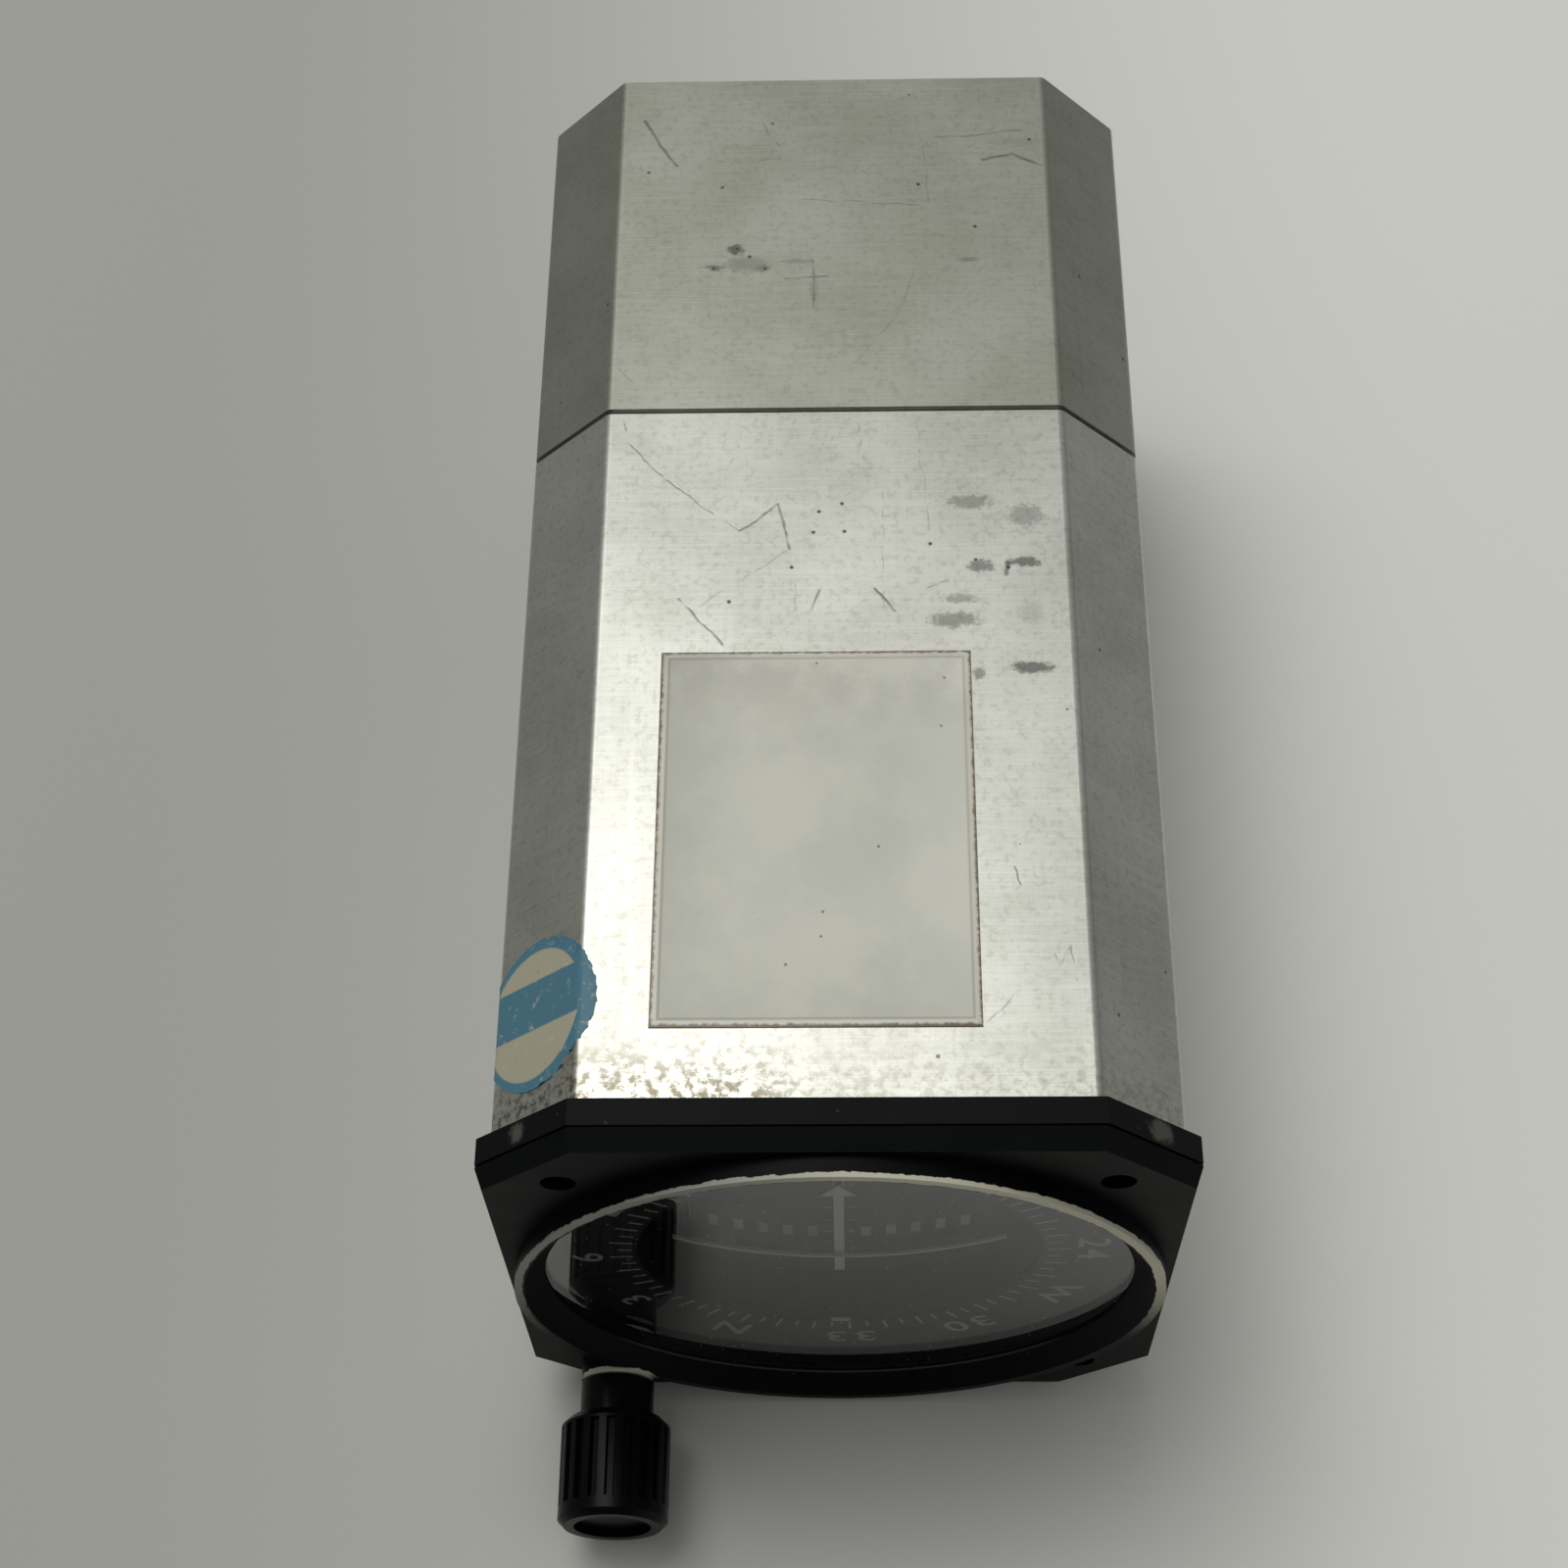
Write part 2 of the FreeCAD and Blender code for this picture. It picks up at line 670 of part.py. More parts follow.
def make_knob():
    knob = turned("obs_knob", [
        ("0", "knob_front + knob_recess_depth"),
        ("knob_recess_radius", "knob_front + knob_recess_depth"),
        ("knob_recess_radius", "knob_front"),
        ("knob_radius - knob_end_chamfer", "knob_front"),
        ("knob_radius", "knob_front + knob_end_chamfer"),
        ("knob_radius", "knob_body_back - knob_shoulder"),
        ("knob_radius - knob_shoulder", "knob_body_back"),
        ("knob_neck_radius", "knob_body_back"),
        ("knob_neck_radius", "knob_neck_back"),
        ("shaft_radius", "knob_neck_back"),
        ("shaft_radius", "knob_neck_back - knob_bore_depth"),
        ("0", "knob_neck_back - knob_bore_depth"),
    ], "knob_across", "knob_up")
    half = "flute_width / 2"
    floor = "knob_radius - flute_depth"
    flute = [(floor, f"0 - {half} * 0.6"), ("knob_radius * 1.1", f"0 - {half} * 1.4"),
             ("knob_radius * 1.1", f"{half} * 1.4"), (floor, f"{half} * 0.6")]
    groove = cut(knob, [flute], "flute_front", "flute_back")
    pattern = knob.newObject("PartDesign::PolarPattern", "flutes")
    pattern.Originals = [groove]
    pattern.Axis = (groove.Profile[0], ["N_Axis"])
    pattern.Angle = 360
    pattern.setExpression("Occurrences", formula("flute_count"))
    knob.Tip = pattern


def make_shaft():
    shaft = rod("shaft_radius", "knob_neck_back - knob_bore_depth", "train_back + axial_play",
                "y", "knob_across", "knob_up")
    named(shaft, "knob_shaft")
    bushings = []
    for front, back in (("boss_front", "bezel_back"), ("web_front", "collar_back")):
        outer = rod("bushing_radius", front, back, "y", "knob_across", "knob_up")
        inner = rod("shaft_bore_radius", front, back, "y", "knob_across", "knob_up")
        bushings.append(without(outer, [inner]))
    named(group(bushings), "shaft_bushings")


# Gears

def gap_outline(teeth, module):
    """One side of a tooth gap at root and tip, for an involute tooth of 20 degrees."""
    pressure = math.radians(20)
    pitch_radius = teeth * module / 2
    base_radius = pitch_radius * math.cos(pressure)
    backlash = 0.06 * module
    at_pitch = math.tan(pressure) - pressure
    points = []
    for radius in (pitch_radius - 1.2 * module, pitch_radius + 1.0 * module):
        lean = math.acos(min(1, base_radius / radius))
        involute = math.tan(lean) - lean
        half_tooth = math.pi / (2 * teeth) - backlash / (2 * pitch_radius) + at_pitch - involute
        half_gap = math.pi / teeth - half_tooth
        points.append((radius * math.cos(half_gap), radius * math.sin(half_gap)))
    return points


def gear(name, teeth, module, front, back, bore, across, up, facing, web=None):
    """A spur gear with a gap between teeth, or with a tooth, facing a direction in degrees."""
    count = value(teeth)
    size = value(module)
    body = body_for(name)
    pad(body, [(f"({teeth} / 2 + 0.9) * {module}",), (bore,)], front, back)
    if web:
        revolve(body, web)
    before = body.Tip.Shape.Volume
    sketch = sketch_on(body, "XZ_Plane", front)
    flank = gap_outline(count, size)
    beyond = (flank[-1][0] * 1.1, flank[-1][1] * 1.1)
    upper = flank + [beyond]
    corners = upper + [(across_, -up_) for across_, up_ in reversed(upper)]
    points = [Vector(across_, up_, 0) for across_, up_ in corners]
    for i, point in enumerate(points):
        sketch.addGeometry(Part.LineSegment(point, points[(i + 1) % len(points)]))
    for i in range(len(points)):
        sketch.addConstraint(Sketcher.Constraint("Coincident", i, 2, (i + 1) % len(points), 1))
        sketch.addConstraint(Sketcher.Constraint("Block", i))
    gap = body.newObject("PartDesign::Pocket", "gap")
    gap.Profile = sketch
    gap.setExpression("Length", f"({formula(back)}) - ({formula(front)})")
    doc.recompute()
    if gap.Shape.Volume >= before:
        raise RuntimeError(f"the tooth gap of {name} cuts nothing")
    pattern = body.newObject("PartDesign::PolarPattern", "teeth")
    pattern.Originals = [gap]
    pattern.Axis = (sketch, ["N_Axis"])
    pattern.Angle = 360
    pattern.setExpression("Occurrences", formula(teeth))
    body.Tip = pattern
    body.Placement = Placement(Vector(), Rotation(Vector(0, -1, 0), facing))
    place(body, across, "0", up)
    return body


def direction(across, up, other_across, other_up):
    """The direction from one axis to another, in degrees up from X."""
    return math.degrees(math.atan2(value(other_up) - value(up), value(other_across) - value(across)))


def make_gears():
    knob = ("knob_across", "knob_up")
    idler = ("idler_across", "idler_up")
    resolver = ("resolver_across", "resolver_up")
    to_centre = direction(*knob, "0", "0")
    to_idler = direction(*knob, *idler)
    to_resolver = direction(*idler, *resolver)
    web_and_hub = [
        ("hub_radius", "card_back"), ("azimuth_pitch_radius - azimuth_module * 1.3", "card_back"),
        ("azimuth_pitch_radius - azimuth_module * 1.3", "card_back + gear_web_thickness"),
        ("hub_outer_radius", "card_back + gear_web_thickness"),
        ("hub_outer_radius", "card_back + hub_length"), ("hub_radius", "card_back + hub_length"),
    ]
    gear("azimuth_gear", "azimuth_teeth", "azimuth_module", "azimuth_gear_front",
         "azimuth_gear_back", "rim_inner_radius", "0", "0", to_centre + 180, web_and_hub)
    gear("card_pinion", "card_pinion_teeth", "azimuth_module", "azimuth_gear_front", "azimuth_gear_back",
         "shaft_radius", *knob, to_centre + 180 / value("card_pinion_teeth"))
    gear("train_pinion", "train_pinion_teeth", "train_module", "train_front - axial_play",
         "train_back", "shaft_radius", *knob, to_idler + 180 / value("train_pinion_teeth"))
    gear("idler_gear", "idler_teeth", "train_module", "train_front", "train_back",
         "idler_pin_radius + running_fit", *idler, to_idler + 180)
    gear("idler_pinion", "idler_pinion_teeth", "train_module", "train_back", "second_back + axial_play",
         "idler_pin_radius + running_fit", *idler, to_resolver + 180 / value("idler_pinion_teeth"))
    gear("resolver_gear", "resolver_teeth", "train_module", "second_front", "second_back",
         "resolver_shaft_radius", *resolver, to_resolver + 180)


# Azimuth card

def make_card():
    card = body_for("azimuth_card")
    pad(card, [("card_outer_radius",), ("card_opening_radius",)], "card_setback", "card_back")
    bearing = body_for("card_bearing_ring")
    pad(bearing, [("bearing_radius",), ("card_opening_radius",)], "bearing_front", "collar_back")


# Gear plate and resolver

def make_resolver():
    plate = body_for("gear_plate")
    left, right = "knob_across - gear_plate_side", "0 - knob_across"
    low = "0 - case_half + gear_plate_low_gap"
    foot = "0 - case_half + case_corner_clip + gear_plate_foot_gap"
    low_side = "0 - case_half + case_corner_clip + gear_plate_corner_gap"
    corners = [(left, "gear_plate_top"), (left, low_side), (foot, low), (right, low),
               (right, "gear_plate_top")]
    posts = [("post_radius / 2", across, up) for across, up in POST_PLACES]
    pilot = ("resolver_pilot_radius", "resolver_across", "resolver_up")
    pin = ("idler_pin_radius", "idler_across", "idler_up")
    pad(plate, [corners, pilot, pin] + posts, "gear_plate_front", "gear_plate_back")
    pillars = [rod("post_radius", "collar_back", "gear_plate_front", "y", across, up)
               for across, up in POST_PLACES]
    named(group(pillars), "gear_plate_posts")
    screws = []
    for across, up in POST_PLACES:
        shank = rod("post_radius / 2", "gear_plate_front", "gear_plate_back", "y", across, up)
        head = rod("post_radius", "gear_plate_back", "gear_plate_back + post_radius * 0.8",
                   "y", across, up)
        screws.append(fused([shank, head]))
    named(group(screws), "gear_plate_screws")
    pin_bar = rod("idler_pin_radius", "collar_back", "gear_plate_back", "y", "idler_across", "idler_up")
    named(pin_bar, "idler_pin")
    centre = ("resolver_across", "resolver_up")
    end = "gear_plate_back + resolver_length"
    inside = "resolver_radius - resolver_wall"
    turned("resolver_body", [
        ("resolver_shaft_radius + running_fit", "gear_plate_front"),
        ("resolver_pilot_radius", "gear_plate_front"), ("resolver_pilot_radius", "gear_plate_back"),
        ("resolver_radius", "gear_plate_back"), ("resolver_radius", end), ("0", end),
        ("0", f"{end} - resolver_wall"), (inside, f"{end} - resolver_wall"),
        (inside, "gear_plate_back + resolver_wall"),
        ("resolver_shaft_radius + running_fit", "gear_plate_back + resolver_wall"),
    ], *centre)
    rotor = f"{inside} - axial_play"
    turned("resolver_rotor", [
        ("0", "second_front - axial_play"), ("resolver_shaft_radius", "second_front - axial_play"),
        ("resolver_shaft_radius", "gear_plate_back + resolver_wall + axial_play"),
        (rotor, "gear_plate_back + resolver_wall + axial_play"),
        (rotor, f"{end} - resolver_wall - axial_play"), ("0", f"{end} - resolver_wall - axial_play"),
    ], *centre)


POST_PLACES = (("knob_across + post_across_inset", "gear_plate_top - post_drop"),
               ("0 - knob_across - post_across_inset", "gear_plate_top - post_drop"),
               ("resolver_across + resolver_radius + low_post_reach", "0 - case_half + low_post_gap"))


# Dial centre

def dome(radius):
    ball = doc.addObject("Part::Sphere", "ball")
    ball.setExpression("Radius", formula(radius))
    place(ball, "0", "hinge_setback", "0")
    return ball


def cdi_slot(front, back):
    half = "dome_radius * sin(cdi_travel) + arm_width / 2 + arm_side_gap"
    side = "arm_width / 2 + arm_side_gap"
    return box(f"0 - ({half})", half, front, back, f"arm_height - ({side})", f"arm_height + {side}")


def gs_slot(front, back):
    half = "dome_radius * sin(gs_travel) + arm_width / 2 + arm_side_gap"
    side = "arm_width / 2 + arm_side_gap"
    return box(f"gs_arm_across - ({side})", f"gs_arm_across + {side}", front, back,
               f"0 - ({half})", half)


FLAGS = (("nav_flag", "0 - flag_across", "flag_up", "-1"),
         ("gs_flag", "0 - flag_across", "0 - flag_up", "-1"),
         ("to_from_flag", "to_from_across", "to_from_up", "1"))


def make_dial_centre():
    crown = common(dome("dome_radius"), rod("dome_edge_radius", "dome_setback - 1", "dome_flange_back"))
    flange = rod("dome_flange_radius", "dome_flange_front", "dome_flange_back")
    pocket = rod("dome_pocket_radius", "dome_pocket_front", "dome_flange_back")
    tools = [pocket, cdi_slot("dome_setback", "flag_plate_back"), gs_slot("dome_setback", "flag_plate_back")]
    for name, across, up, side in FLAGS:
        near = f"{across} + {side} * (flag_arm_length)"
        far = f"{across} + {side} * (flag_arm_length + flag_vane_width - flag_window_margin * 2)"
        left, right = (far, near) if side == "-1" else (near, far)
        height = "(flag_vane_height / 2 - flag_window_margin)"
        tools.append(box(left, right, "dome_setback", "dome_flange_back",
                         f"{up} - {height}", f"{up} + {height}"))
    named(without(fused([crown, flange]), tools), "meter_face")
    pointers = []
    for side in ("1", "-1"):
        pointer = body_of_pointer(side)
        low, high = "pointer_inner_radius + pointer_lap", "pointer_inner_radius + pointer_leg_width"
        bottom, top = (low, high) if side == "1" else (f"0 - ({high})", f"0 - ({low})")
        leg = without(box("0 - pointer_leg_width / 2", "pointer_leg_width / 2", "pointer_back",
                          "dome_flange_front", bottom, top), [dome("dome_radius")])
        pointers.append(fused([pointer, leg]))
    named(group(pointers), "index_pointers")
    plate = rod("dome_flange_radius", "dome_flange_back", "flag_plate_back")
    staffs = [rod("flag_staff_radius + running_fit", "dome_setback", "flag_plate_back", "y", across, up)
              for name, across, up, side in FLAGS]
    slots = [cdi_slot("dome_setback", "flag_plate_back"), gs_slot("dome_setback", "flag_plate_back")]
    named(without(plate, slots + staffs), "flag_plate")


def body_of_pointer(side):
    """A flat triangle whose tip points outward."""
    body = doc.addObject("PartDesign::Body", "pointer")
    pad(body, [[("0 - pointer_width / 2", f"{side} * pointer_inner_radius"),
                ("pointer_width / 2", f"{side} * pointer_inner_radius"),
                ("0", f"{side} * pointer_outer_radius")]], "pointer_setback", "pointer_back")
    return body


# Flags

def make_flags():
    motors = []
    for name, across, up, side in FLAGS:
        near = f"{across} + {side} * flag_arm_length"
        far = f"{across} + {side} * (flag_arm_length + flag_vane_width)"
        left, right = (far, near) if side == "-1" else (near, far)
        vane = box(left, right, "flag_vane_setback", "flag_vane_back",
                   f"{up} - flag_vane_height / 2", f"{up} + flag_vane_height / 2")
        left, right = (near, across) if side == "-1" else (across, near)
        arm = box(left, right, "flag_vane_setback", "flag_vane_back",
                  f"{up} - flag_staff_radius", f"{up} + flag_staff_radius")
        staff = rod("flag_staff_radius", "flag_vane_setback", "flag_plate_back + flag_motor_radius",
                    "y", across, up)
        named(fused([vane, arm, staff]), name)
        can = rod("flag_motor_radius", "flag_plate_back", "flag_plate_back + flag_motor_length",
                  "y", across, up)
        bore = rod("flag_staff_radius + running_fit", "flag_plate_back",
                   "flag_plate_back + flag_motor_radius + axial_play", "y", across, up)
        motors.append(without(can, [bore]))
    named(group(motors), "flag_motors")


# Meter movements. Each is modelled about its own hinge axis, Z, and then set in place.

def movement(prefix, across, up, turn, rest):
    """The fixed and moving pieces of one meter movement. rest turns only what moves."""
    height = "yoke_height / 2"
    ring = without(fused([rod("yoke_radius", f"0 - {height}", height, "z"),
                          box("0 - bracket_width / 2", "bracket_width / 2", "yoke_bore_radius",
                              "yoke_radius", f"0 - {height}", height)]),
                   [rod("yoke_bore_radius", f"0 - {height}", height, "z")])
    core = fused([rod("magnet_radius", f"0 - {height}", height, "z"),
                  common(box("0 - magnet_web / 2", "magnet_web / 2", "0", "yoke_radius",
                             f"0 - {height}", height),
                         rod("yoke_bore_radius", f"0 - {height}", height, "z"))])
    outer = box("0 - bracket_width / 2", "bracket_width / 2", "0 - bracket_reach", "bracket_depth",
                "0 - bracket_outer", "bracket_outer")
    hollow = box("0 - bracket_width / 2", "bracket_width / 2", "0 - bracket_reach", "yoke_radius",
                 "0 - bracket_clearance", "bracket_clearance")
    jewels = rod("pivot_radius + running_fit", "0 - bracket_outer", "bracket_outer", "z")
    bracket = without(outer, [hollow, jewels])
    loop = without(box("0 - coil_width / 2", "coil_width / 2", "0 - coil_depth / 2", "coil_depth / 2",
                       "0 - coil_half", "coil_half"),
                   [box("coil_section - coil_width / 2", "coil_width / 2 - coil_section",
                        "0 - coil_depth / 2", "coil_depth / 2",
                        "coil_section - coil_half", "coil_half - coil_section")])
    pivot_end = "bracket_clearance + bracket_thickness / 2"
    pivots = group([rod("pivot_radius", "coil_half", pivot_end, "z"),
                    rod("pivot_radius", f"0 - ({pivot_end})", "0 - coil_half", "z")])
    reach = {"cdi": "sqrt((cdi_needle_bow - needle_thickness) ^ 2 - arm_height ^ 2) - slip_fit / 2",
             "gs": "hinge_setback - gs_needle_setback - needle_thickness - gs_needle_bow"
                   " + sqrt(gs_needle_bow ^ 2 - gs_arm_across ^ 2) - slip_fit / 2"}[prefix]
    hub = without(fused([
        rod("arm_width * 2", "coil_half", "arm_offset + arm_depth", "z"),
        box("0 - arm_width / 2", "arm_width / 2", f"0 - ({reach})", "balance_reach",
            "arm_offset - arm_depth / 2", "arm_offset + arm_depth / 2")]),
        [rod("pivot_radius", "coil_half", "bracket_clearance", "z")])
    balance = group([rod("balance_radius", "arm_offset - balance_height / 2",
                         "arm_offset + balance_height / 2", "z", "0", "balance_reach + balance_radius")])
    fixed = {"yoke": ring, "magnet": core, "bracket": bracket}
    moving = {"coil": loop, "pivots": pivots, "arm": hub, "balance": balance}
    for piece, item in list(fixed.items()) + list(moving.items()):
        spin = rest.multiply(turn) if piece in moving else turn
        item.Placement = Placement(Vector(), spin)
        place(item, across, "hinge_setback", up)
        named(item, f"{prefix}_{piece}")


def make_movements():
    still = Rotation()
    tip = Rotation(Vector(1, 0, 0), value("gs_rest_angle"))
    movement("cdi", "0", "cdi_movement_height", still, still)
    movement("gs", "gs_movement_across", "0", Rotation(Vector(0, 1, 0), 90), tip)
    wide = "cdi_needle_width / 2"
    front = rod("cdi_needle_bow", f"0 - {wide}", wide, "x", "hinge_setback", "0")
    back = rod("cdi_needle_bow - needle_thickness", f"0 - {wide}", wide, "x", "hinge_setback", "0")
    span = box(f"0 - {wide}", wide, "cdi_needle_setback - 1", "cdi_needle_setback + 10",
               "cdi_needle_bottom", "cdi_needle_top")
    named(common(without(front, [back]), span), "cdi_needle")
    half = "gs_needle_height / 2"
    front = rod("gs_needle_bow", f"0 - {half}", half, "z", "0", "gs_bow_centre")
    back = rod("gs_needle_bow - needle_thickness", f"0 - {half}", half, "z", "0", "gs_bow_centre")
    span = box("0 - gs_needle_span / 2", "gs_needle_span / 2", "gs_needle_setback - hinge_setback - 1",
               "gs_needle_setback - hinge_setback + 10", f"0 - {half}", half)
    bow = common(without(front, [back]), span)
    bow.Placement = Placement(Vector(), tip)
    place(bow, "0", "hinge_setback", "0")
    named(bow, "gs_needle")
    plate = body_for("movement_plate")
    inset = "sheet_thickness + slip_fit + band_thickness + axial_play"
    outer = octagon(f"(case_half - ({inset}))", inner_clip(inset))
    rods = [("rod_radius + slip_fit", across, up) for across, up in ROD_PLACES]
    pad(plate, [outer] + rods, "movement_plate_front", "movement_plate_back")


# Circuit board and edge connector

def make_board():
    board = body_for("converter_board")
    wide, tongue = "board_width / 2", "tongue_width / 2"
    shoulder = "board_shoulder"
    sketch = sketch_on(board, "XY_Plane", "0 - board_thickness / 2")
    draw(sketch, [[(f"0 - {wide}", "board_front"), (wide, "board_front"), (wide, shoulder),
                   (tongue, shoulder), (tongue, "board_back"), (f"0 - {tongue}", "board_back"),
                   (f"0 - {tongue}", shoulder), (f"0 - {wide}", shoulder)]])
    slab = board.newObject("PartDesign::Pad", "slab")
    slab.Profile = sketch
    slab.setExpression("Length", formula("board_thickness"))
    contacts = []
    for number in range(int(value("contact_count"))):
        middle = f"({number} - (contact_count - 1) / 2) * contact_pitch"
        for low, high in (("board_thickness / 2", "board_thickness / 2 + contact_thickness"),
                          ("0 - board_thickness / 2 - contact_thickness", "0 - board_thickness / 2")):
            contacts.append(box(f"{middle} - contact_width / 2", f"{middle} + contact_width / 2",
                                "case_back + slip_fit", "board_back - edge_break * 2", low, high))
    named(group(contacts), "edge_contacts")
    feet = []
    top = "board_face + bracket_foot_height"
    for side in ("-1", "1"):
        inner, outer = f"{side} * (board_width / 2 - bracket_foot_width)", f"{side} * board_width / 2"
        left, right = (outer, inner) if side == "-1" else (inner, outer)
        feet.append(box(left, right, "movement_plate_back", "board_front + board_run * 0.12",
                        "board_face", top))
        feet.append(box(left, right, "board_front + board_run * 0.6", "rear_plate_front",
                        "board_face", top))
    named(group(feet), "board_brackets")
    parts = [box("0 - board_width * 0.34", "transformer_width - board_width * 0.34",
                 "board_front + board_run * 0.15", "board_front + board_run * 0.41",
                 "board_face", "board_face + transformer_height")]
    for across in ("capacitor_radius * 1.3", "capacitor_radius * 1.3 + capacitor_pitch"):
        parts.append(rod("capacitor_radius", "board_face", "board_face + capacitor_height", "z",
                         across, "board_front + board_run * 0.26"))
    for row in (-1, 0, 1):
        middle = f"{row} * package_pitch"
        parts.append(box(f"{middle} - package_width / 2", f"{middle} + package_width / 2",
                         "board_front + board_run * 0.52", "board_front + board_run * 0.88",
                         "board_face", "board_face + package_height"))
    named(group(parts), "board_components")


# Lamp housing

def make_lamp():
    ring = without(rod("lamp_cover_outer", "clamp_back", "clamp_back + lamp_cover_depth"),
                   [rod("lamp_cover_inner", "clamp_back", "clamp_back + lamp_cover_depth")])
    window = box("0 - lamp_cover_width / 2", "lamp_cover_width / 2", "clamp_back",
                 "clamp_back + lamp_cover_depth", "0 - lamp_cover_outer", "0 - lamp_cover_inner * 0.9")
    named(common(ring, window), "dial_lamp_cover")


make_bezel()
make_lens()
make_mounting_frame()
make_cans()
make_rear_plate()
make_tie_rods()
make_knob()
make_shaft()
make_gears()
make_card()
make_resolver()
make_dial_centre()
make_flags()
make_movements()
make_board()
make_lamp()

doc.recompute()
for item in doc.Objects:
    if "Invalid" in item.State or "Error" in item.State:
        raise RuntimeError(f"{item.Name} ({item.Label}) failed: {item.State}")
for item in sub_parts:
    if item.Shape.isNull() or not item.Shape.isValid():
        raise RuntimeError(f"{item.Label} has no valid shape")

os.makedirs("parts", exist_ok=True)
for item in sub_parts:
    item.Shape.exportStep(f"parts/{item.Label}.step")
print(len(sub_parts), "sub-parts written")
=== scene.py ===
import json
import math

import bmesh
import bpy
from mathutils import Matrix, Vector


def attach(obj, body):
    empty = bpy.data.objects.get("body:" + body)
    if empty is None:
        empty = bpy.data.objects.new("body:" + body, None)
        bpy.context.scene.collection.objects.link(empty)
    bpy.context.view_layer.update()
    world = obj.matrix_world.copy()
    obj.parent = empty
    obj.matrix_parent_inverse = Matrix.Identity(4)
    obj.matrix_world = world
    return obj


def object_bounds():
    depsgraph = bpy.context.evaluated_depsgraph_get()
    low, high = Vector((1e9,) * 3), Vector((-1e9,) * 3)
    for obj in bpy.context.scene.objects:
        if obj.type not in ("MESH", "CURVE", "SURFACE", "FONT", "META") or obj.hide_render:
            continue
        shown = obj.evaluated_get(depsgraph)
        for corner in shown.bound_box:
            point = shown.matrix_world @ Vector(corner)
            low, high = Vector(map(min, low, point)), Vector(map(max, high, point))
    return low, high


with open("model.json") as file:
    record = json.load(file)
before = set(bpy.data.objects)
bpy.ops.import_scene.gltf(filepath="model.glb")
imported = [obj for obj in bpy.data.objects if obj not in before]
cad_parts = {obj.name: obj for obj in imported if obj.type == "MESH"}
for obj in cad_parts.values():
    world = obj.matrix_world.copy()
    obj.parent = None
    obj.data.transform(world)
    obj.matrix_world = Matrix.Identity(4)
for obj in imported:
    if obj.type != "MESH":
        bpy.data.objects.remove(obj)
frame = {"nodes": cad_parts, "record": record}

cad_box = [list(corner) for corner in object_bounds()]
nodes = frame["nodes"]
MM = 0.001


def reach(name, axis, end):
    """How far a CAD node reaches along an axis in millimetres, where end is min or max."""
    return round(end(vertex.co[axis] for vertex in nodes[name].data.vertices) / MM, 3)


def joint_place(name):
    """Where a joint's axis passes, in millimetres."""
    for joint in frame["record"]["behaviour"]["joints"]:
        if joint["name"] == name:
            return [round(along / MM, 3) for along in joint["pos_m"]]


# Camera, in metres and degrees, fitted to the photo's corners, edges and screw holes

CAMERA_PLACE = (0.001658, -0.111882, 0.311078)
CAMERA_TURNS = (("Z", 2.807), ("X", -59.622), ("Y", 2.8))
FOCAL_PIXELS = 2710.8
PHOTO_PIXELS = 1600
SENSOR_WIDTH = 36


def set_camera():
    """Look at the part as the photo does."""
    data = bpy.data.cameras.new("photo_view")
    camera = bpy.data.objects.new("photo_view", data)
    bpy.context.scene.collection.objects.link(camera)
    turn = Matrix.Identity(3)
    for axis, degrees in CAMERA_TURNS:
        turn = turn @ Matrix.Rotation(math.radians(degrees), 3, axis)
    right, forward, up = turn.col
    matrix = Matrix((right, up, -forward)).transposed().to_4x4()
    matrix.translation = Vector(CAMERA_PLACE)
    camera.matrix_world = matrix
    data.sensor_fit = "HORIZONTAL"
    data.sensor_width = SENSOR_WIDTH
    data.lens = FOCAL_PIXELS / PHOTO_PIXELS * SENSOR_WIDTH
    data.clip_start = 0.01
    bpy.context.scene.camera = camera


set_camera()

# Modelling by hand: every step acts on what is selected


def deselect():
    """Leave nothing selected or active."""
    for item in bpy.context.selected_objects:
        item.select_set(False)
    bpy.context.view_layer.objects.active = None


def only(item):
    """Select one object and make it active."""
    deselect()
    item.select_set(True)
    bpy.context.view_layer.objects.active = item


def new_piece(name):
    """The object that an operator has just added, under its own name."""
    item = bpy.context.active_object
    item.name = name
    item.data.name = name
    return item


def settle(item):
    """Put an object's place, turn and size into its mesh."""
    only(item)
    bpy.ops.object.transform_apply(location=True, rotation=True, scale=True)


def edit(item, mode="FACE"):
    """Start to edit an object's mesh with nothing in it selected."""
    only(item)
    bpy.ops.object.mode_set(mode="EDIT")
    bpy.ops.mesh.select_mode(type=mode)
    bpy.ops.mesh.select_all(action="DESELECT")


def done():
    bpy.ops.object.mode_set(mode="OBJECT")


def pick(item, wanted, kind="faces"):
    """Select the faces, edges or vertices for which a test holds."""
    mesh = bmesh.from_edit_mesh(item.data)
    for part in getattr(mesh, kind):
        part.select_set(bool(wanted(part)))
    mesh.select_flush_mode()
    bmesh.update_edit_mesh(item.data)


def outward(item):
    """Merge doubles and point every face outwards."""
    edit(item, "VERT")
    bpy.ops.mesh.select_all(action="SELECT")
    bpy.ops.mesh.remove_doubles(threshold=1e-7)
    bpy.ops.mesh.normals_make_consistent(inside=False)
    done()


def apply_modifier(item, kind, **settings):
    """Add a modifier and put its result into the mesh."""
    only(item)
    modifier = item.modifiers.new(kind.lower(), kind)
    for name, setting in settings.items():
        setattr(modifier, name, setting)
    bpy.ops.object.modifier_apply(modifier=modifier.name)


def smooth(item, degrees=35):
    """Smooth shading, with edges sharper than an angle kept."""
    only(item)
    bpy.ops.object.shade_smooth_by_angle(angle=math.radians(degrees))


def join(items, name):
    """Make one piece of several."""
    only(items[0])
    for item in items:
        item.select_set(True)
    bpy.ops.object.join()
    return new_piece(name)


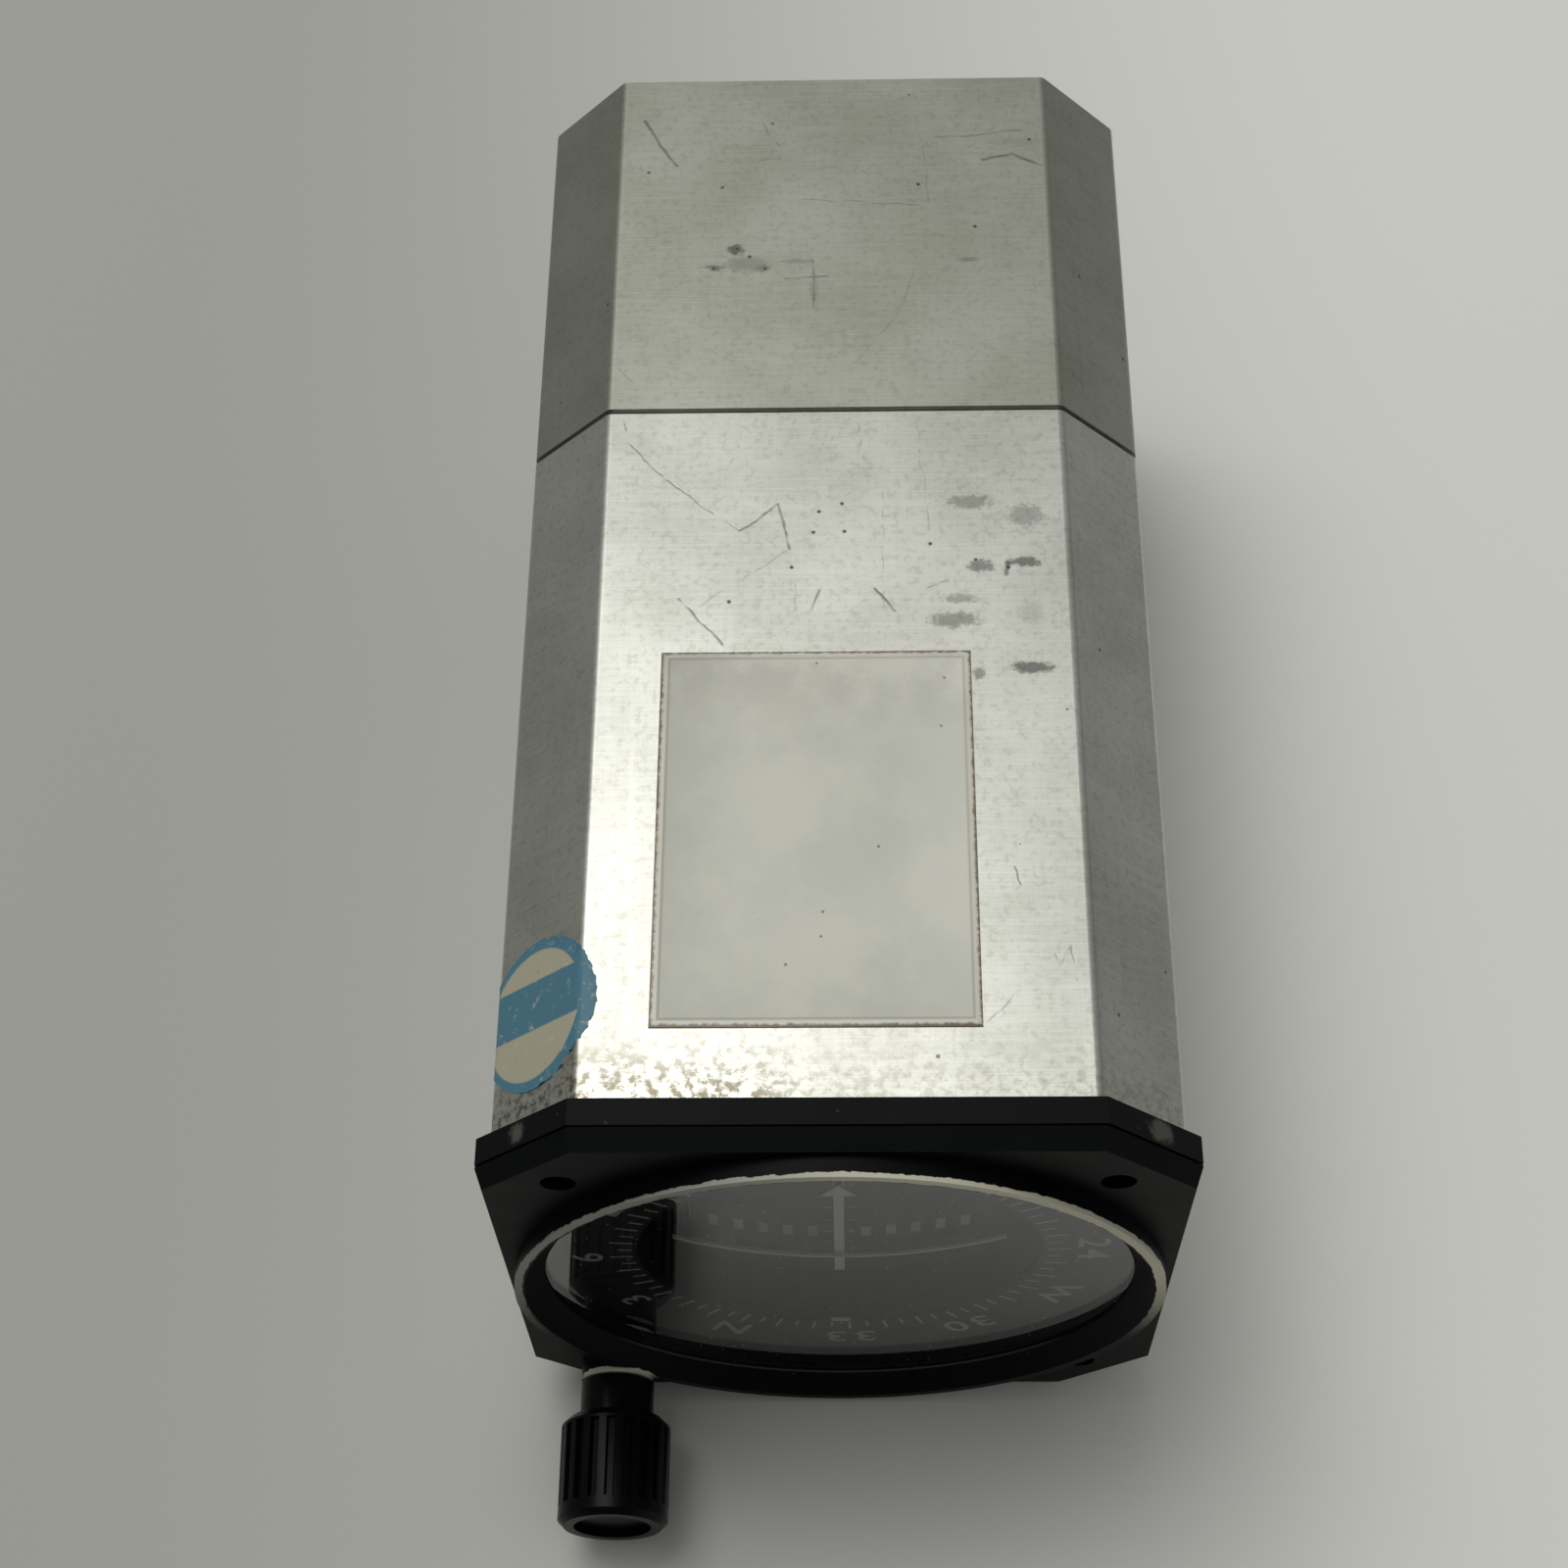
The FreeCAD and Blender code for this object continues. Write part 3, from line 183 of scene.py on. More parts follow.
def block(name, low, high, bevel=0.0, segments=2):
    """A block between two corners in millimetres, with its edges bevelled."""
    centre = [(a + b) / 2 * MM for a, b in zip(low, high)]
    deselect()
    bpy.ops.mesh.primitive_cube_add(size=1, location=centre)
    item = new_piece(name)
    item.scale = [(b - a) * MM for a, b in zip(low, high)]
    settle(item)
    if bevel:
        edit(item, "EDGE")
        bpy.ops.mesh.select_all(action="SELECT")
        bpy.ops.mesh.bevel(offset=bevel * MM, segments=segments)
        done()
        outward(item)
    return item


# Shader nodes, and the effects that several materials share, by name

EFFECTS = {}


def linear(red, green, blue):
    """A colour from its 0 to 255 screen values."""
    def one(level):
        level /= 255
        return level / 12.92 if level <= 0.04045 else ((level + 0.055) / 1.055) ** 2.4
    return (one(red), one(green), one(blue), 1.0)


class Tree:
    """A shader node tree that nodes are added to, one call each."""

    def __init__(self, tree):
        self.tree = tree

    def add(self, kind, inputs=(), **settings):
        node = self.tree.nodes.new(kind)
        for name, setting in settings.items():
            setattr(node, name, setting)
        for name, given in dict(inputs).items():
            self.give(given, node.inputs[name])
        return node

    def give(self, given, socket):
        """Link another node's output to an input, or set the input to a value."""
        if isinstance(given, bpy.types.NodeSocket):
            self.tree.links.new(given, socket)
        else:
            socket.default_value = given

    def math(self, operation, first, second=0.0, clamp=False):
        node = self.add("ShaderNodeMath", {0: first, 1: second}, operation=operation, use_clamp=clamp)
        return node.outputs[0]

    def plus(self, first, second):
        return self.math("ADD", first, second)

    def minus(self, first, second):
        return self.math("SUBTRACT", first, second)

    def times(self, first, second):
        return self.math("MULTIPLY", first, second)

    def vector(self, operation, first, second=(0, 0, 0)):
        node = self.add("ShaderNodeVectorMath", {0: first, 1: second}, operation=operation)
        return node.outputs["Value" if operation in ("DOT_PRODUCT", "LENGTH", "DISTANCE") else "Vector"]

    def scaled(self, vector, factor):
        node = self.add("ShaderNodeVectorMath", {0: vector, 3: factor}, operation="SCALE")
        return node.outputs[0]

    def parts(self, vector):
        """A vector's X, Y and Z."""
        return self.add("ShaderNodeSeparateXYZ", {0: vector}).outputs

    def between(self, given, low, high, first=0.0, second=1.0):
        """A number that runs smoothly from first to second while another runs from low to high."""
        return self.add("ShaderNodeMapRange", {
            "Value": given, "From Min": low, "From Max": high, "To Min": first, "To Max": second,
        }, interpolation_type="SMOOTHSTEP").outputs["Result"]

    def mix(self, share, first, second):
        """A colour on the way from the first to the second."""
        node = self.add("ShaderNodeMix", {0: share, 6: first, 7: second}, data_type="RGBA")
        return node.outputs[2]

    def noise(self, vector, scale, detail=4.0, roughness=0.55):
        return self.add("ShaderNodeTexNoise", {
            "Vector": vector, "Scale": scale, "Detail": detail, "Roughness": roughness,
        }).outputs["Fac"]

    def stretched(self, vector, sizes):
        return self.vector("MULTIPLY", vector, sizes)

    def cover(self, share, mask, under, over):
        """Lay a colour over another where a mask says, with a share of its full strength."""
        return self.mix(self.times(mask, share), under, over)

    def effect(self, name, inputs):
        """The outputs of an effect that several materials share."""
        return self.add("ShaderNodeGroup", inputs, node_tree=EFFECTS[name]).outputs


def new_effect(name, inputs, outputs=("Mark",)):
    """A node group with named inputs, each with its default, and named outputs."""
    group = bpy.data.node_groups.new(name, "ShaderNodeTree")
    for label, default in inputs.items():
        kind = "NodeSocketVector" if isinstance(default, tuple) else "NodeSocketFloat"
        socket = group.interface.new_socket(label, in_out="INPUT", socket_type=kind)
        socket.default_value = default
    for label in outputs:
        group.interface.new_socket(label, in_out="OUTPUT", socket_type="NodeSocketFloat")
    EFFECTS[name] = group
    tree = Tree(group)
    return tree, tree.add("NodeGroupInput").outputs, tree.add("NodeGroupOutput").inputs


def make_scratch():
    """A thin line between two points, in metres."""
    tree, given, result = new_effect("scratch", {
        "Vector": (0, 0, 0), "Start": (0, 0, 0), "End": (0, 1, 0), "Width": 0.0002})
    along = tree.vector("SUBTRACT", given["End"], given["Start"])
    from_start = tree.vector("SUBTRACT", given["Vector"], given["Start"])
    share = tree.math("DIVIDE", tree.vector("DOT_PRODUCT", from_start, along),
                      tree.vector("DOT_PRODUCT", along, along), clamp=True)
    away = tree.vector("DISTANCE", from_start, tree.scaled(along, share))
    mark = tree.between(tree.math("DIVIDE", away, given["Width"]), 0.2, 1.0, 1.0, 0.0)
    tree.give(mark, result["Mark"])


def make_smudge():
    """A soft patch about a centre, with ragged edges."""
    tree, given, result = new_effect("smudge", {
        "Vector": (0, 0, 0), "Centre": (0, 0, 0), "Sizes": (1, 1, 1), "Ragged": 0.0})
    away = tree.vector("SUBTRACT", given["Vector"], given["Centre"])
    away = tree.vector("LENGTH", tree.vector("DIVIDE", away, given["Sizes"]))
    mark = tree.between(tree.plus(away, given["Ragged"]), 0.55, 1.15, 1.0, 0.0)
    tree.give(mark, result["Mark"])


def make_brushed():
    """Metal brushed in fine lines along Y."""
    tree, given, result = new_effect("brushed", {"Vector": (0, 0, 0)}, ("Height", "Tone"))
    lines = tree.noise(tree.stretched(given["Vector"], (5200, 130, 5200)), 1.0, 3.0, 0.6)
    broad = tree.noise(tree.stretched(given["Vector"], (900, 26, 900)), 1.0, 2.0)
    tree.give(lines, result["Height"])
    tree.give(tree.plus(tree.times(lines, 0.5), tree.times(broad, 0.5)), result["Tone"])


def make_specks():
    """Small round dots in a share of the cells."""
    tree, given, result = new_effect("specks", {
        "Vector": (0, 0, 0), "Scale": 400.0, "Size": 0.12, "Share": 0.5})
    cells = tree.add("ShaderNodeTexVoronoi", {"Vector": given["Vector"], "Scale": given["Scale"]},
                     feature="F1")
    dot = tree.math("LESS_THAN", cells.outputs["Distance"], given["Size"])
    level = tree.add("ShaderNodeSeparateColor", {0: cells.outputs["Color"]}).outputs[0]
    chosen = tree.math("LESS_THAN", level, given["Share"])
    tree.give(tree.times(dot, chosen), result["Mark"])


def make_blotches():
    """Broken patches that cover a share of a surface."""
    tree, given, result = new_effect("blotches", {
        "Vector": (0, 0, 0), "Scale": 200.0, "Edge": 0.55, "Softness": 0.05})
    rough = tree.noise(given["Vector"], given["Scale"], 6.0, 0.65)
    mark = tree.between(rough, tree.minus(given["Edge"], given["Softness"]),
                        tree.plus(given["Edge"], given["Softness"]))
    tree.give(mark, result["Mark"])


def make_rim():
    """1 on a circle about the Y axis, falling to 0 at a width from it."""
    tree, given, result = new_effect("rim", {
        "Vector": (0, 0, 0), "Radius": 0.04, "Depth": 0.0, "Width": 0.001})
    flat = tree.vector("MULTIPLY", given["Vector"], (1, 0, 1))
    across = tree.minus(tree.vector("LENGTH", flat), given["Radius"])
    deep = tree.minus(tree.parts(given["Vector"])["Y"], given["Depth"])
    square = tree.plus(tree.times(across, across), tree.times(deep, deep))
    away = tree.math("DIVIDE", tree.math("SQRT", square), given["Width"])
    tree.give(tree.between(away, 0.0, 1.0, 1.0, 0.0), result["Mark"])


for make_effect in (make_scratch, make_smudge, make_brushed, make_specks, make_blotches, make_rim):
    make_effect()


def new_material(name):
    """A material with its tree, its shader and the place that its patterns follow."""
    material = bpy.data.materials.new(name)
    material.use_nodes = True
    tree = Tree(material.node_tree)
    shader = material.node_tree.nodes["Principled BSDF"]
    place = tree.add("ShaderNodeTexCoord").outputs["Object"]
    return material, tree, shader, place


def feed(tree, shader, **given):
    """Set or link the shader's inputs by their words."""
    names = {"colour": "Base Color", "roughness": "Roughness", "metallic": "Metallic",
             "normal": "Normal", "specular": "Specular IOR Level",
             "glass": "Transmission Weight", "ior": "IOR"}
    for word, value in given.items():
        tree.give(value, shader.inputs[names[word]])


def bump(tree, height, strength, distance):
    """The normal that a height gives."""
    return tree.add("ShaderNodeBump", {
        "Height": height, "Strength": strength, "Distance": distance}).outputs["Normal"]


def most(tree, marks):
    """The strongest of several masks."""
    total = marks[0]
    for mark in marks[1:]:
        total = tree.math("MAXIMUM", total, mark)
    return total


# Marks on the case, where the photo shows them: x and y in millimetres on the top face. Most are marks of
# handling; on the rear case a crease and a dent are drawn as dark marks of painted shade.

TOP = reach("front_can", 2, max)
WANDER = 1.2
SPECK_RADIUS = 0.3
MARK_DEPTH = 3.0
FRONT_SCRATCHES = [
    # path of points (x, y), width in mm, darkness
    ([(-27.0, 101.0), (-26.3, 97.7), (-21.0, 91.4), (-12.0, 83.8)], 0.22, 0.6),
    ([(-12.0, 83.8), (-7.0, 87.8), (-5.6, 80.9)], 0.3, 0.8),
    ([(-5.6, 80.9), (-16.8, 72.3)], 0.2, 0.35),
    ([(-19.3, 73.5), (-13.7, 66.9)], 0.3, 0.8),
    ([(-2.0, 74.8), (-2.9, 71.8)], 0.3, 0.75),
    ([(4.9, 75.0), (7.2, 71.6)], 0.34, 0.9),
    ([(11.6, 75.1), (14.2, 76.2)], 0.25, 0.6),
    ([(-5.0, 76.4), (-4.4, 68.0)], 0.18, 0.4),
    ([(6.1, 89.7), (5.8, 66.1)], 0.15, 0.35),
    ([(24.3, 27.3), (25.4, 22.9), (27.0, 25.4), (27.3, 21.0)], 0.2, 0.5),
    ([(20.7, 35.6), (21.4, 33.3)], 0.25, 0.7),
    ([(16.1, 15.0), (20.6, 19.8)], 0.2, 0.5),
    ([(10.6, 100.5), (12.0, 83.5)], 0.14, 0.3),
    ([(3.0, 100.6), (3.8, 94.8)], 0.18, 0.4),
    ([(21.5, 78.9), (21.2, 77.0)], 0.5, 1.0),
]
FRONT_SMUDGES = [
    # centre (x, y), half sizes (x, y), darkness
    ((17.0, 88.0), (3.2, 1.3), 0.55), ((23.9, 85.8), (2.6, 2.0), 0.5), ((18.1, 78.2), (1.8, 1.1), 0.7),
    ((23.6, 78.8), (2.2, 0.9), 0.8), ((15.3, 73.3), (2.4, 0.8), 0.5), ((14.6, 70.2), (3.4, 1.3), 0.6),
    ((23.9, 63.1), (3.0, 1.0), 0.8), ((17.4, 62.3), (0.9, 0.9), 0.6), ((24.0, 71.0), (2.0, 2.0), 0.2),
    ((-13.0, 47.0), (5.0, 7.0), 0.12),
]
FRONT_SPECKS = [(-5.4, 78.2), (17.5, 79.1), (1.2, 83.6), (-2.7, 83.5), (-2.0, 86.7), (0.9, 87.9),
                (11.9, 81.6), (-13.1, 73.1), (21.5, 77.9)]
REAR_SCRATCHES_AND_CREASE_SHADE = [
    ([(-11.1, 155.9), (-7.5, 148.7)], 0.18, 0.5),
    ([(-13.8, 145.5), (-7.2, 146.5)], 0.15, 0.4),
    ([(0.5, 146.7), (5.9, 142.7)], 0.15, 0.4),
    ([(14.0, 150.1), (25.9, 151.2)], 0.25, 0.45),
    # painted shade: this line follows a crease and is darkened where the crease lies in shade
    ([(20.2, 146.0), (24.6, 146.7), (28.6, 144.6)], 0.4, 0.8),
    ([(12.3, 148.3), (13.1, 135.3)], 0.15, 0.4),
    ([(-4.4, 139.1), (11.8, 137.8)], 0.2, 0.45),
    ([(-2.8, 128.4), (-2.6, 119.1)], 0.3, 0.5),
    ([(-6.5, 124.9), (-0.9, 125.3)], 0.3, 0.5),
    ([(10.6, 126.2), (8.9, 119.3), (3.0, 111.2)], 0.15, 0.3),
    ([(-17.4, 113.2), (-12.2, 110.5)], 0.15, 0.3),
    ([(-29.1, 110.7), (-26.1, 107.7)], 0.15, 0.4),
    ([(-26.2, 153.9), (-24.9, 151.1), (-22.9, 147.8), (-21.5, 145.3)], 0.4, 0.75),
]
REAR_SMUDGES_AND_DENT_SHADE = [
    # painted shade: the dark patch about x -13, y 130 darkens a dent where it lies in shade; the rest are
    # smudges
    ((-13.2, 130.2), (1.3, 1.0), 0.75), ((-15.9, 127.0), (1.3, 0.6), 0.6), ((-11.6, 127.6), (3.4, 1.6), 0.3),
    ((-9.6, 126.9), (1.2, 0.8), 0.5), ((-5.0, 128.0), (2.2, 0.5), 0.3), ((18.0, 128.0), (1.6, 0.5), 0.4),
    ((-2.6, 123.5), (0.6, 3.4), 0.2), ((24.5, 149.0), (4.0, 1.2), 0.2),
]
REAR_SPECKS = [(-13.0, 130.3), (-16.1, 126.9), (-11.3, 128.9), (-9.2, 126.8), (19.0, 133.8),
               (11.5, 141.5), (26.9, 149.5)]


def metres(x, y, z=TOP):
    """A place given in millimetres, on the case's top face unless its height is given."""
    return (x * MM, y * MM, z * MM)


def sheet_marks(tree, place, scratches_and_crease_shade, smudges_and_dent_shade, specks):
    """Masks of a sheet's dark lines and of its dark patches, with painted shade of a crease and a dent among
    the rear case's marks.
    """
    wander = tree.add("ShaderNodeTexNoise", {"Vector": place, "Scale": 260.0, "Detail": 2.0})
    shift = tree.vector("SUBTRACT", wander.outputs["Color"], (0.5, 0.5, 0.5))
    bent = tree.vector("ADD", place, tree.scaled(shift, WANDER * MM))
    ragged = tree.times(tree.minus(tree.noise(place, 1500.0, 5.0, 0.7), 0.5), 1.9)
    lines, patches = [], []
    for path, width, darkness in scratches_and_crease_shade:
        for start, end in zip(path, path[1:]):
            mark = tree.effect("scratch", {"Vector": bent, "Start": metres(*start), "End": metres(*end),
                                           "Width": width * MM})["Mark"]
            lines.append(tree.times(mark, darkness))
    for (x, y), (wide, deep), darkness in smudges_and_dent_shade:
        mark = tree.effect("smudge", {"Vector": place, "Centre": metres(x, y), "Ragged": ragged,
                                      "Sizes": metres(wide, deep, MARK_DEPTH)})["Mark"]
        patches.append(tree.times(mark, darkness))
    for x, y in specks:
        mark = tree.effect("smudge", {"Vector": place, "Centre": metres(x, y),
                                      "Sizes": metres(SPECK_RADIUS, SPECK_RADIUS, MARK_DEPTH)})
        patches.append(mark["Mark"])
    return most(tree, lines), most(tree, patches)


def sheet_metal(name, tone, dull, roughness, rub, scratches_and_crease_shade, smudges_and_dent_shade, specks, stained):
    """Brushed aluminium sheet with handling marks and, on the rear case, painted shade of a crease and a
    dent.
    """
    material, tree, shader, place = new_material(name)
    brushed = tree.effect("brushed", {"Vector": place})
    rubbed = tree.noise(tree.stretched(place, (110, 4200, 110)), 1.0, 3.0, 0.6)
    cloud = tree.noise(place, 55.0, 5.0, 0.6)
    fine = tree.noise(place, 420.0, 4.0, 0.6)
    lines, patches = sheet_marks(tree, place, scratches_and_crease_shade, smudges_and_dent_shade, specks)
    colour = tree.mix(tree.between(cloud, 0.3, 0.7), dull, tone)
    colour = tree.cover(0.28, brushed["Tone"], colour, linear(120, 121, 116))
    colour = tree.mix(tree.between(rubbed, 0.35, 0.75, 0.0, rub), colour, linear(236, 236, 230))
    dots = tree.effect("specks", {"Vector": place, "Scale": 190.0, "Size": 0.05, "Share": 0.4})["Mark"]
    colour = tree.cover(0.7, dots, colour, linear(64, 62, 55))
    pitted = tree.noise(place, 1100.0, 4.0, 0.65)
    colour = tree.mix(tree.between(pitted, 0.50, 0.66, 0.0, 0.22), colour, linear(118, 116, 104))
    if stained:
        # stains towards the bezel, more of them at the left
        parts = tree.parts(place)
        near = tree.between(parts["Y"], 6.2 * MM, 16.5 * MM, 1.0, 0.0)
        left = tree.between(parts["X"], -12 * MM, 0.0, 1.0, 0.35)
        stain = tree.effect("blotches", {"Vector": place, "Scale": 900.0, "Edge": 0.53, "Softness": 0.06})
        stain = tree.times(tree.times(stain["Mark"], near), left)
        colour = tree.cover(0.85, stain, colour, linear(98, 86, 60))
    colour = tree.cover(0.8, patches, colour, linear(58, 58, 56))
    colour = tree.cover(0.75, lines, colour, linear(70, 68, 62))
    rough = tree.plus(roughness, tree.times(fine, 0.09))
    rough = tree.plus(rough, tree.times(brushed["Tone"], 0.08))
    rough = tree.plus(rough, tree.times(patches, 0.25))
    height = tree.plus(tree.times(brushed["Height"], 0.25), tree.times(rubbed, rub))
    height = tree.minus(height, lines)
    feed(tree, shader, colour=colour, roughness=rough, metallic=1.0,
         normal=bump(tree, height, 0.25, 0.00004))
    return material


def painted_black(name, roughness, wear_and_highlight):
    """Satin black paint with dust, wear and, on the bezel, cream where the paint has gone, with a painted
    highlight along the ring's upper rim.
    """
    material, tree, shader, place = new_material(name)
    cloud = tree.noise(place, 140.0, 5.0, 0.6)
    grain = tree.noise(place, 2600.0, 3.0, 0.6)
    colour = tree.mix(cloud, (0.0012, 0.0016, 0.0018, 1), (0.0032, 0.0040, 0.0044, 1))
    dots = tree.effect("specks", {"Vector": place, "Scale": 420.0, "Size": 0.07, "Share": 0.35})["Mark"]
    colour = tree.cover(0.16, dots, colour, linear(120, 118, 108))
    if wear_and_highlight:
        colour = wear_and_highlight(tree, place, colour)
    rough = tree.plus(roughness, tree.times(cloud, 0.2))
    feed(tree, shader, colour=colour, roughness=rough, specular=0.07,
         normal=bump(tree, grain, 0.3, 0.00005))
    return material


# Where the paint has gone, and where a highlight is painted on the ring's rim, in millimetres: radius, depth
# and width of each rim

RING_RIM = (39.1, -2.62, 1.4)
BOSS_RIM = (4.8, -2.9, 1.3)
LIP_RIM = (35.9, 0.0, 0.22)
KNOB_PLACE = joint_place("knob_turn")
CORNER_WEAR = ((-36.6, 35.6, 1.5), (36.8, 35.5, 2.4))
FLANGE_DEPTH = 4.6


def rim_mask(tree, place, rim):
    """Where a place is near a worn rim."""
    radius, depth, width = (size * MM for size in rim)
    return tree.effect("rim", {"Vector": place, "Radius": radius, "Depth": depth, "Width": width})["Mark"]


def ring_chips_and_highlight(tree, place, colour):
    """Cream along the ring's upper rim, partly primer where the paint has gone and partly a painted
    highlight; cream primer on the knob boss; a faint light line along the inner lip's lower arc.
    """
    parts = tree.parts(place)
    ragged = tree.noise(place, 620.0, 6.0, 0.7)
    broad = tree.noise(place, 90.0, 2.0, 0.5)
    # painted highlight: the cream band on the upper rim stands partly for light along the rim and partly for
    # bare primer, greyer at the left and cream at the right
    upper = tree.between(parts["Z"], -16 * MM, 10 * MM)
    side = tree.between(parts["X"], -36 * MM, 10 * MM, -0.14, 0.07)
    score = tree.plus(rim_mask(tree, place, RING_RIM), tree.times(ragged, 0.9))
    score = tree.plus(score, tree.times(broad, 0.5))
    chips_and_highlight = tree.times(tree.between(tree.plus(score, side), 1.16, 1.24), upper)
    rightward = tree.between(parts["X"], -20 * MM, 6 * MM)
    tone = tree.mix(rightward, linear(148, 150, 143), linear(208, 205, 186))
    colour = tree.mix(chips_and_highlight, colour, tone)
    about_knob = tree.vector("SUBTRACT", place, metres(*KNOB_PLACE))
    boss_upper = tree.between(parts["Z"], -31.2 * MM, -28.5 * MM)
    score = tree.plus(rim_mask(tree, about_knob, BOSS_RIM), tree.times(ragged, 1.1))
    chips_and_highlight = tree.times(tree.between(score, 1.02, 1.1), boss_upper)
    colour = tree.mix(chips_and_highlight, colour, linear(200, 196, 178))
    lower = tree.between(parts["Z"], -20 * MM, -26 * MM)
    line = tree.times(rim_mask(tree, place, LIP_RIM), lower)
    return tree.cover(0.22, line, colour, linear(150, 148, 140))


def corner_wear(tree, place, colour):
    """Paint rubbed thin on the frame's upper corners."""
    ragged = tree.times(tree.minus(tree.noise(place, 700.0, 5.0, 0.7), 0.5), 1.6)
    for x, z, wide in CORNER_WEAR:
        worn = tree.effect("smudge", {"Vector": place, "Centre": metres(x, FLANGE_DEPTH, z),
                                      "Ragged": ragged, "Sizes": metres(wide, 1.6, wide)})["Mark"]
        colour = tree.cover(0.4, worn, colour, linear(124, 123, 115))
    return colour


def plain_finish(name, first, second, roughness, metallic=0.0, scale=300.0, grain=0.0, gloss=0.5):
    """A finish with slow colour change, uneven gloss and fine grain."""
    material, tree, shader, place = new_material(name)
    cloud = tree.noise(place, scale, 5.0, 0.6)
    fine = tree.noise(place, scale * 9, 3.0, 0.6)
    colour = tree.mix(tree.between(cloud, 0.25, 0.75), first, second)
    rough = tree.plus(roughness, tree.times(fine, 0.12))
    feed(tree, shader, colour=colour, roughness=rough, metallic=metallic, specular=gloss,
         normal=bump(tree, fine, 0.2, 0.00003 + grain))
    return material


def turned_metal(name, first, second, roughness):
    """Metal turned about the Y axis, with fine rings."""
    material, tree, shader, place = new_material(name)
    radius = tree.vector("LENGTH", tree.vector("MULTIPLY", place, (1, 0, 1)))
    rings = tree.math("SINE", tree.times(radius, 26000.0))
    cloud = tree.noise(place, 240.0, 4.0, 0.6)
    colour = tree.mix(tree.between(cloud, 0.3, 0.7), first, second)
    rough = tree.plus(roughness, tree.times(cloud, 0.15))
    feed(tree, shader, colour=colour, roughness=rough, metallic=1.0,
         normal=bump(tree, rings, 0.15, 0.00002))
    return material


def clear_glass(name):
    """Clear glass that lets lamps through to the dial, faintly dusty."""
    material, tree, shader, place = new_material(name)
    dust = tree.effect("specks", {"Vector": place, "Scale": 700.0, "Size": 0.08, "Share": 0.25})["Mark"]
    haze = tree.noise(place, 60.0, 4.0, 0.6)
    rough = tree.times(tree.plus(dust, tree.between(haze, 0.55, 0.8, 0.0, 0.05)), 0.5)
    feed(tree, shader, colour=(0.93, 0.95, 0.95, 1), roughness=rough, ior=1.5, glass=1.0)
    lamps = tree.add("ShaderNodeLightPath").outputs["Is Shadow Ray"]
    through = tree.add("ShaderNodeBsdfTransparent", {"Color": (0.9, 0.92, 0.92, 1)})
    both = tree.add("ShaderNodeMixShader", {0: lamps, 1: shader.outputs[0], 2: through.outputs[0]})
    tree.give(both.outputs[0], material.node_tree.nodes["Material Output"].inputs["Surface"])
    return material


# The label's paper inside its edge and the sticker's middle, in millimetres

PAPER_CENTRE = (-2.35, 40.5)
PAPER_HALF = (18.9, 25.2)
STICKER_PLACE = (-34.9, 19.6, 34.1)


def label_paper(name):
    """Cream label stock with a dirty brown edge and a lighter border."""
    material, tree, shader, place = new_material(name)
    parts = tree.parts(place)
    margins = []
    for letter, centre, half in zip("XY", PAPER_CENTRE, PAPER_HALF):
        off_centre = tree.math("ABSOLUTE", tree.minus(parts[letter], centre * MM))
        margins.append(tree.minus(half * MM, off_centre))
    inside = tree.math("MINIMUM", *margins)
    ragged = tree.times(tree.noise(place, 1100.0, 6.0, 0.7), 0.0011)
    cloud = tree.noise(place, 70.0, 5.0, 0.6)
    colour = tree.mix(tree.between(cloud, 0.35, 0.65), linear(204, 204, 194), linear(216, 215, 204))
    border = tree.between(inside, 0.7 * MM, 1.0 * MM, 1.0, 0.0)
    colour = tree.cover(0.6, border, colour, linear(226, 222, 206))
    groove = tree.times(tree.between(inside, 0.8 * MM, 1.0 * MM),
                        tree.between(inside, 1.1 * MM, 1.3 * MM, 1.0, 0.0))
    colour = tree.cover(0.35, groove, colour, linear(120, 110, 88))
    dirt = tree.between(tree.minus(inside, ragged), -0.4 * MM, 0.0, 1.0, 0.0)
    colour = tree.cover(0.85, dirt, colour, linear(88, 70, 44))
    stain = tree.effect("blotches", {"Vector": place, "Scale": 110.0, "Edge": 0.52, "Softness": 0.12})
    far = tree.times(tree.between(parts["Y"], 48 * MM, 66 * MM), stain["Mark"])
    colour = tree.cover(0.28, far, colour, linear(120, 118, 104))
    dots = tree.effect("specks", {"Vector": place, "Scale": 260.0, "Size": 0.05, "Share": 0.6})["Mark"]
    colour = tree.cover(0.7, dots, colour, linear(70, 66, 58))
    feed(tree, shader, colour=colour, roughness=tree.between(cloud, 0.2, 0.8, 0.32, 0.45),
         normal=bump(tree, cloud, 0.1, 0.0002))
    return material


def sticker_paper(name):
    """Worn sticker paper with a blue band and rim and cream fields between them."""
    material, tree, shader, place = new_material(name)
    ragged = tree.noise(place, 800.0, 6.0, 0.7)
    away = tree.vector("DISTANCE", place, metres(*STICKER_PLACE))
    band_place = (STICKER_PLACE[1] + 1.2) * MM
    off_band = tree.math("ABSOLUTE", tree.minus(tree.parts(place)["Y"], band_place))
    band = tree.between(off_band, 3.0 * MM, 3.3 * MM, 1.0, 0.0)
    ring = tree.between(away, 8.0 * MM, 8.3 * MM)
    blue = tree.math("MAXIMUM", band, ring)
    worn = tree.between(ragged, 0.58, 0.66)
    colour = tree.mix(blue, linear(176, 172, 150), linear(72, 122, 142))
    colour = tree.cover(0.6, worn, colour, linear(190, 188, 172))
    dots = tree.effect("specks", {"Vector": place, "Scale": 600.0, "Size": 0.12, "Share": 0.3})["Mark"]
    colour = tree.cover(0.4, dots, colour, linear(110, 92, 60))
    feed(tree, shader, colour=colour, roughness=0.5, normal=bump(tree, ragged, 0.2, 0.0001))
    return material


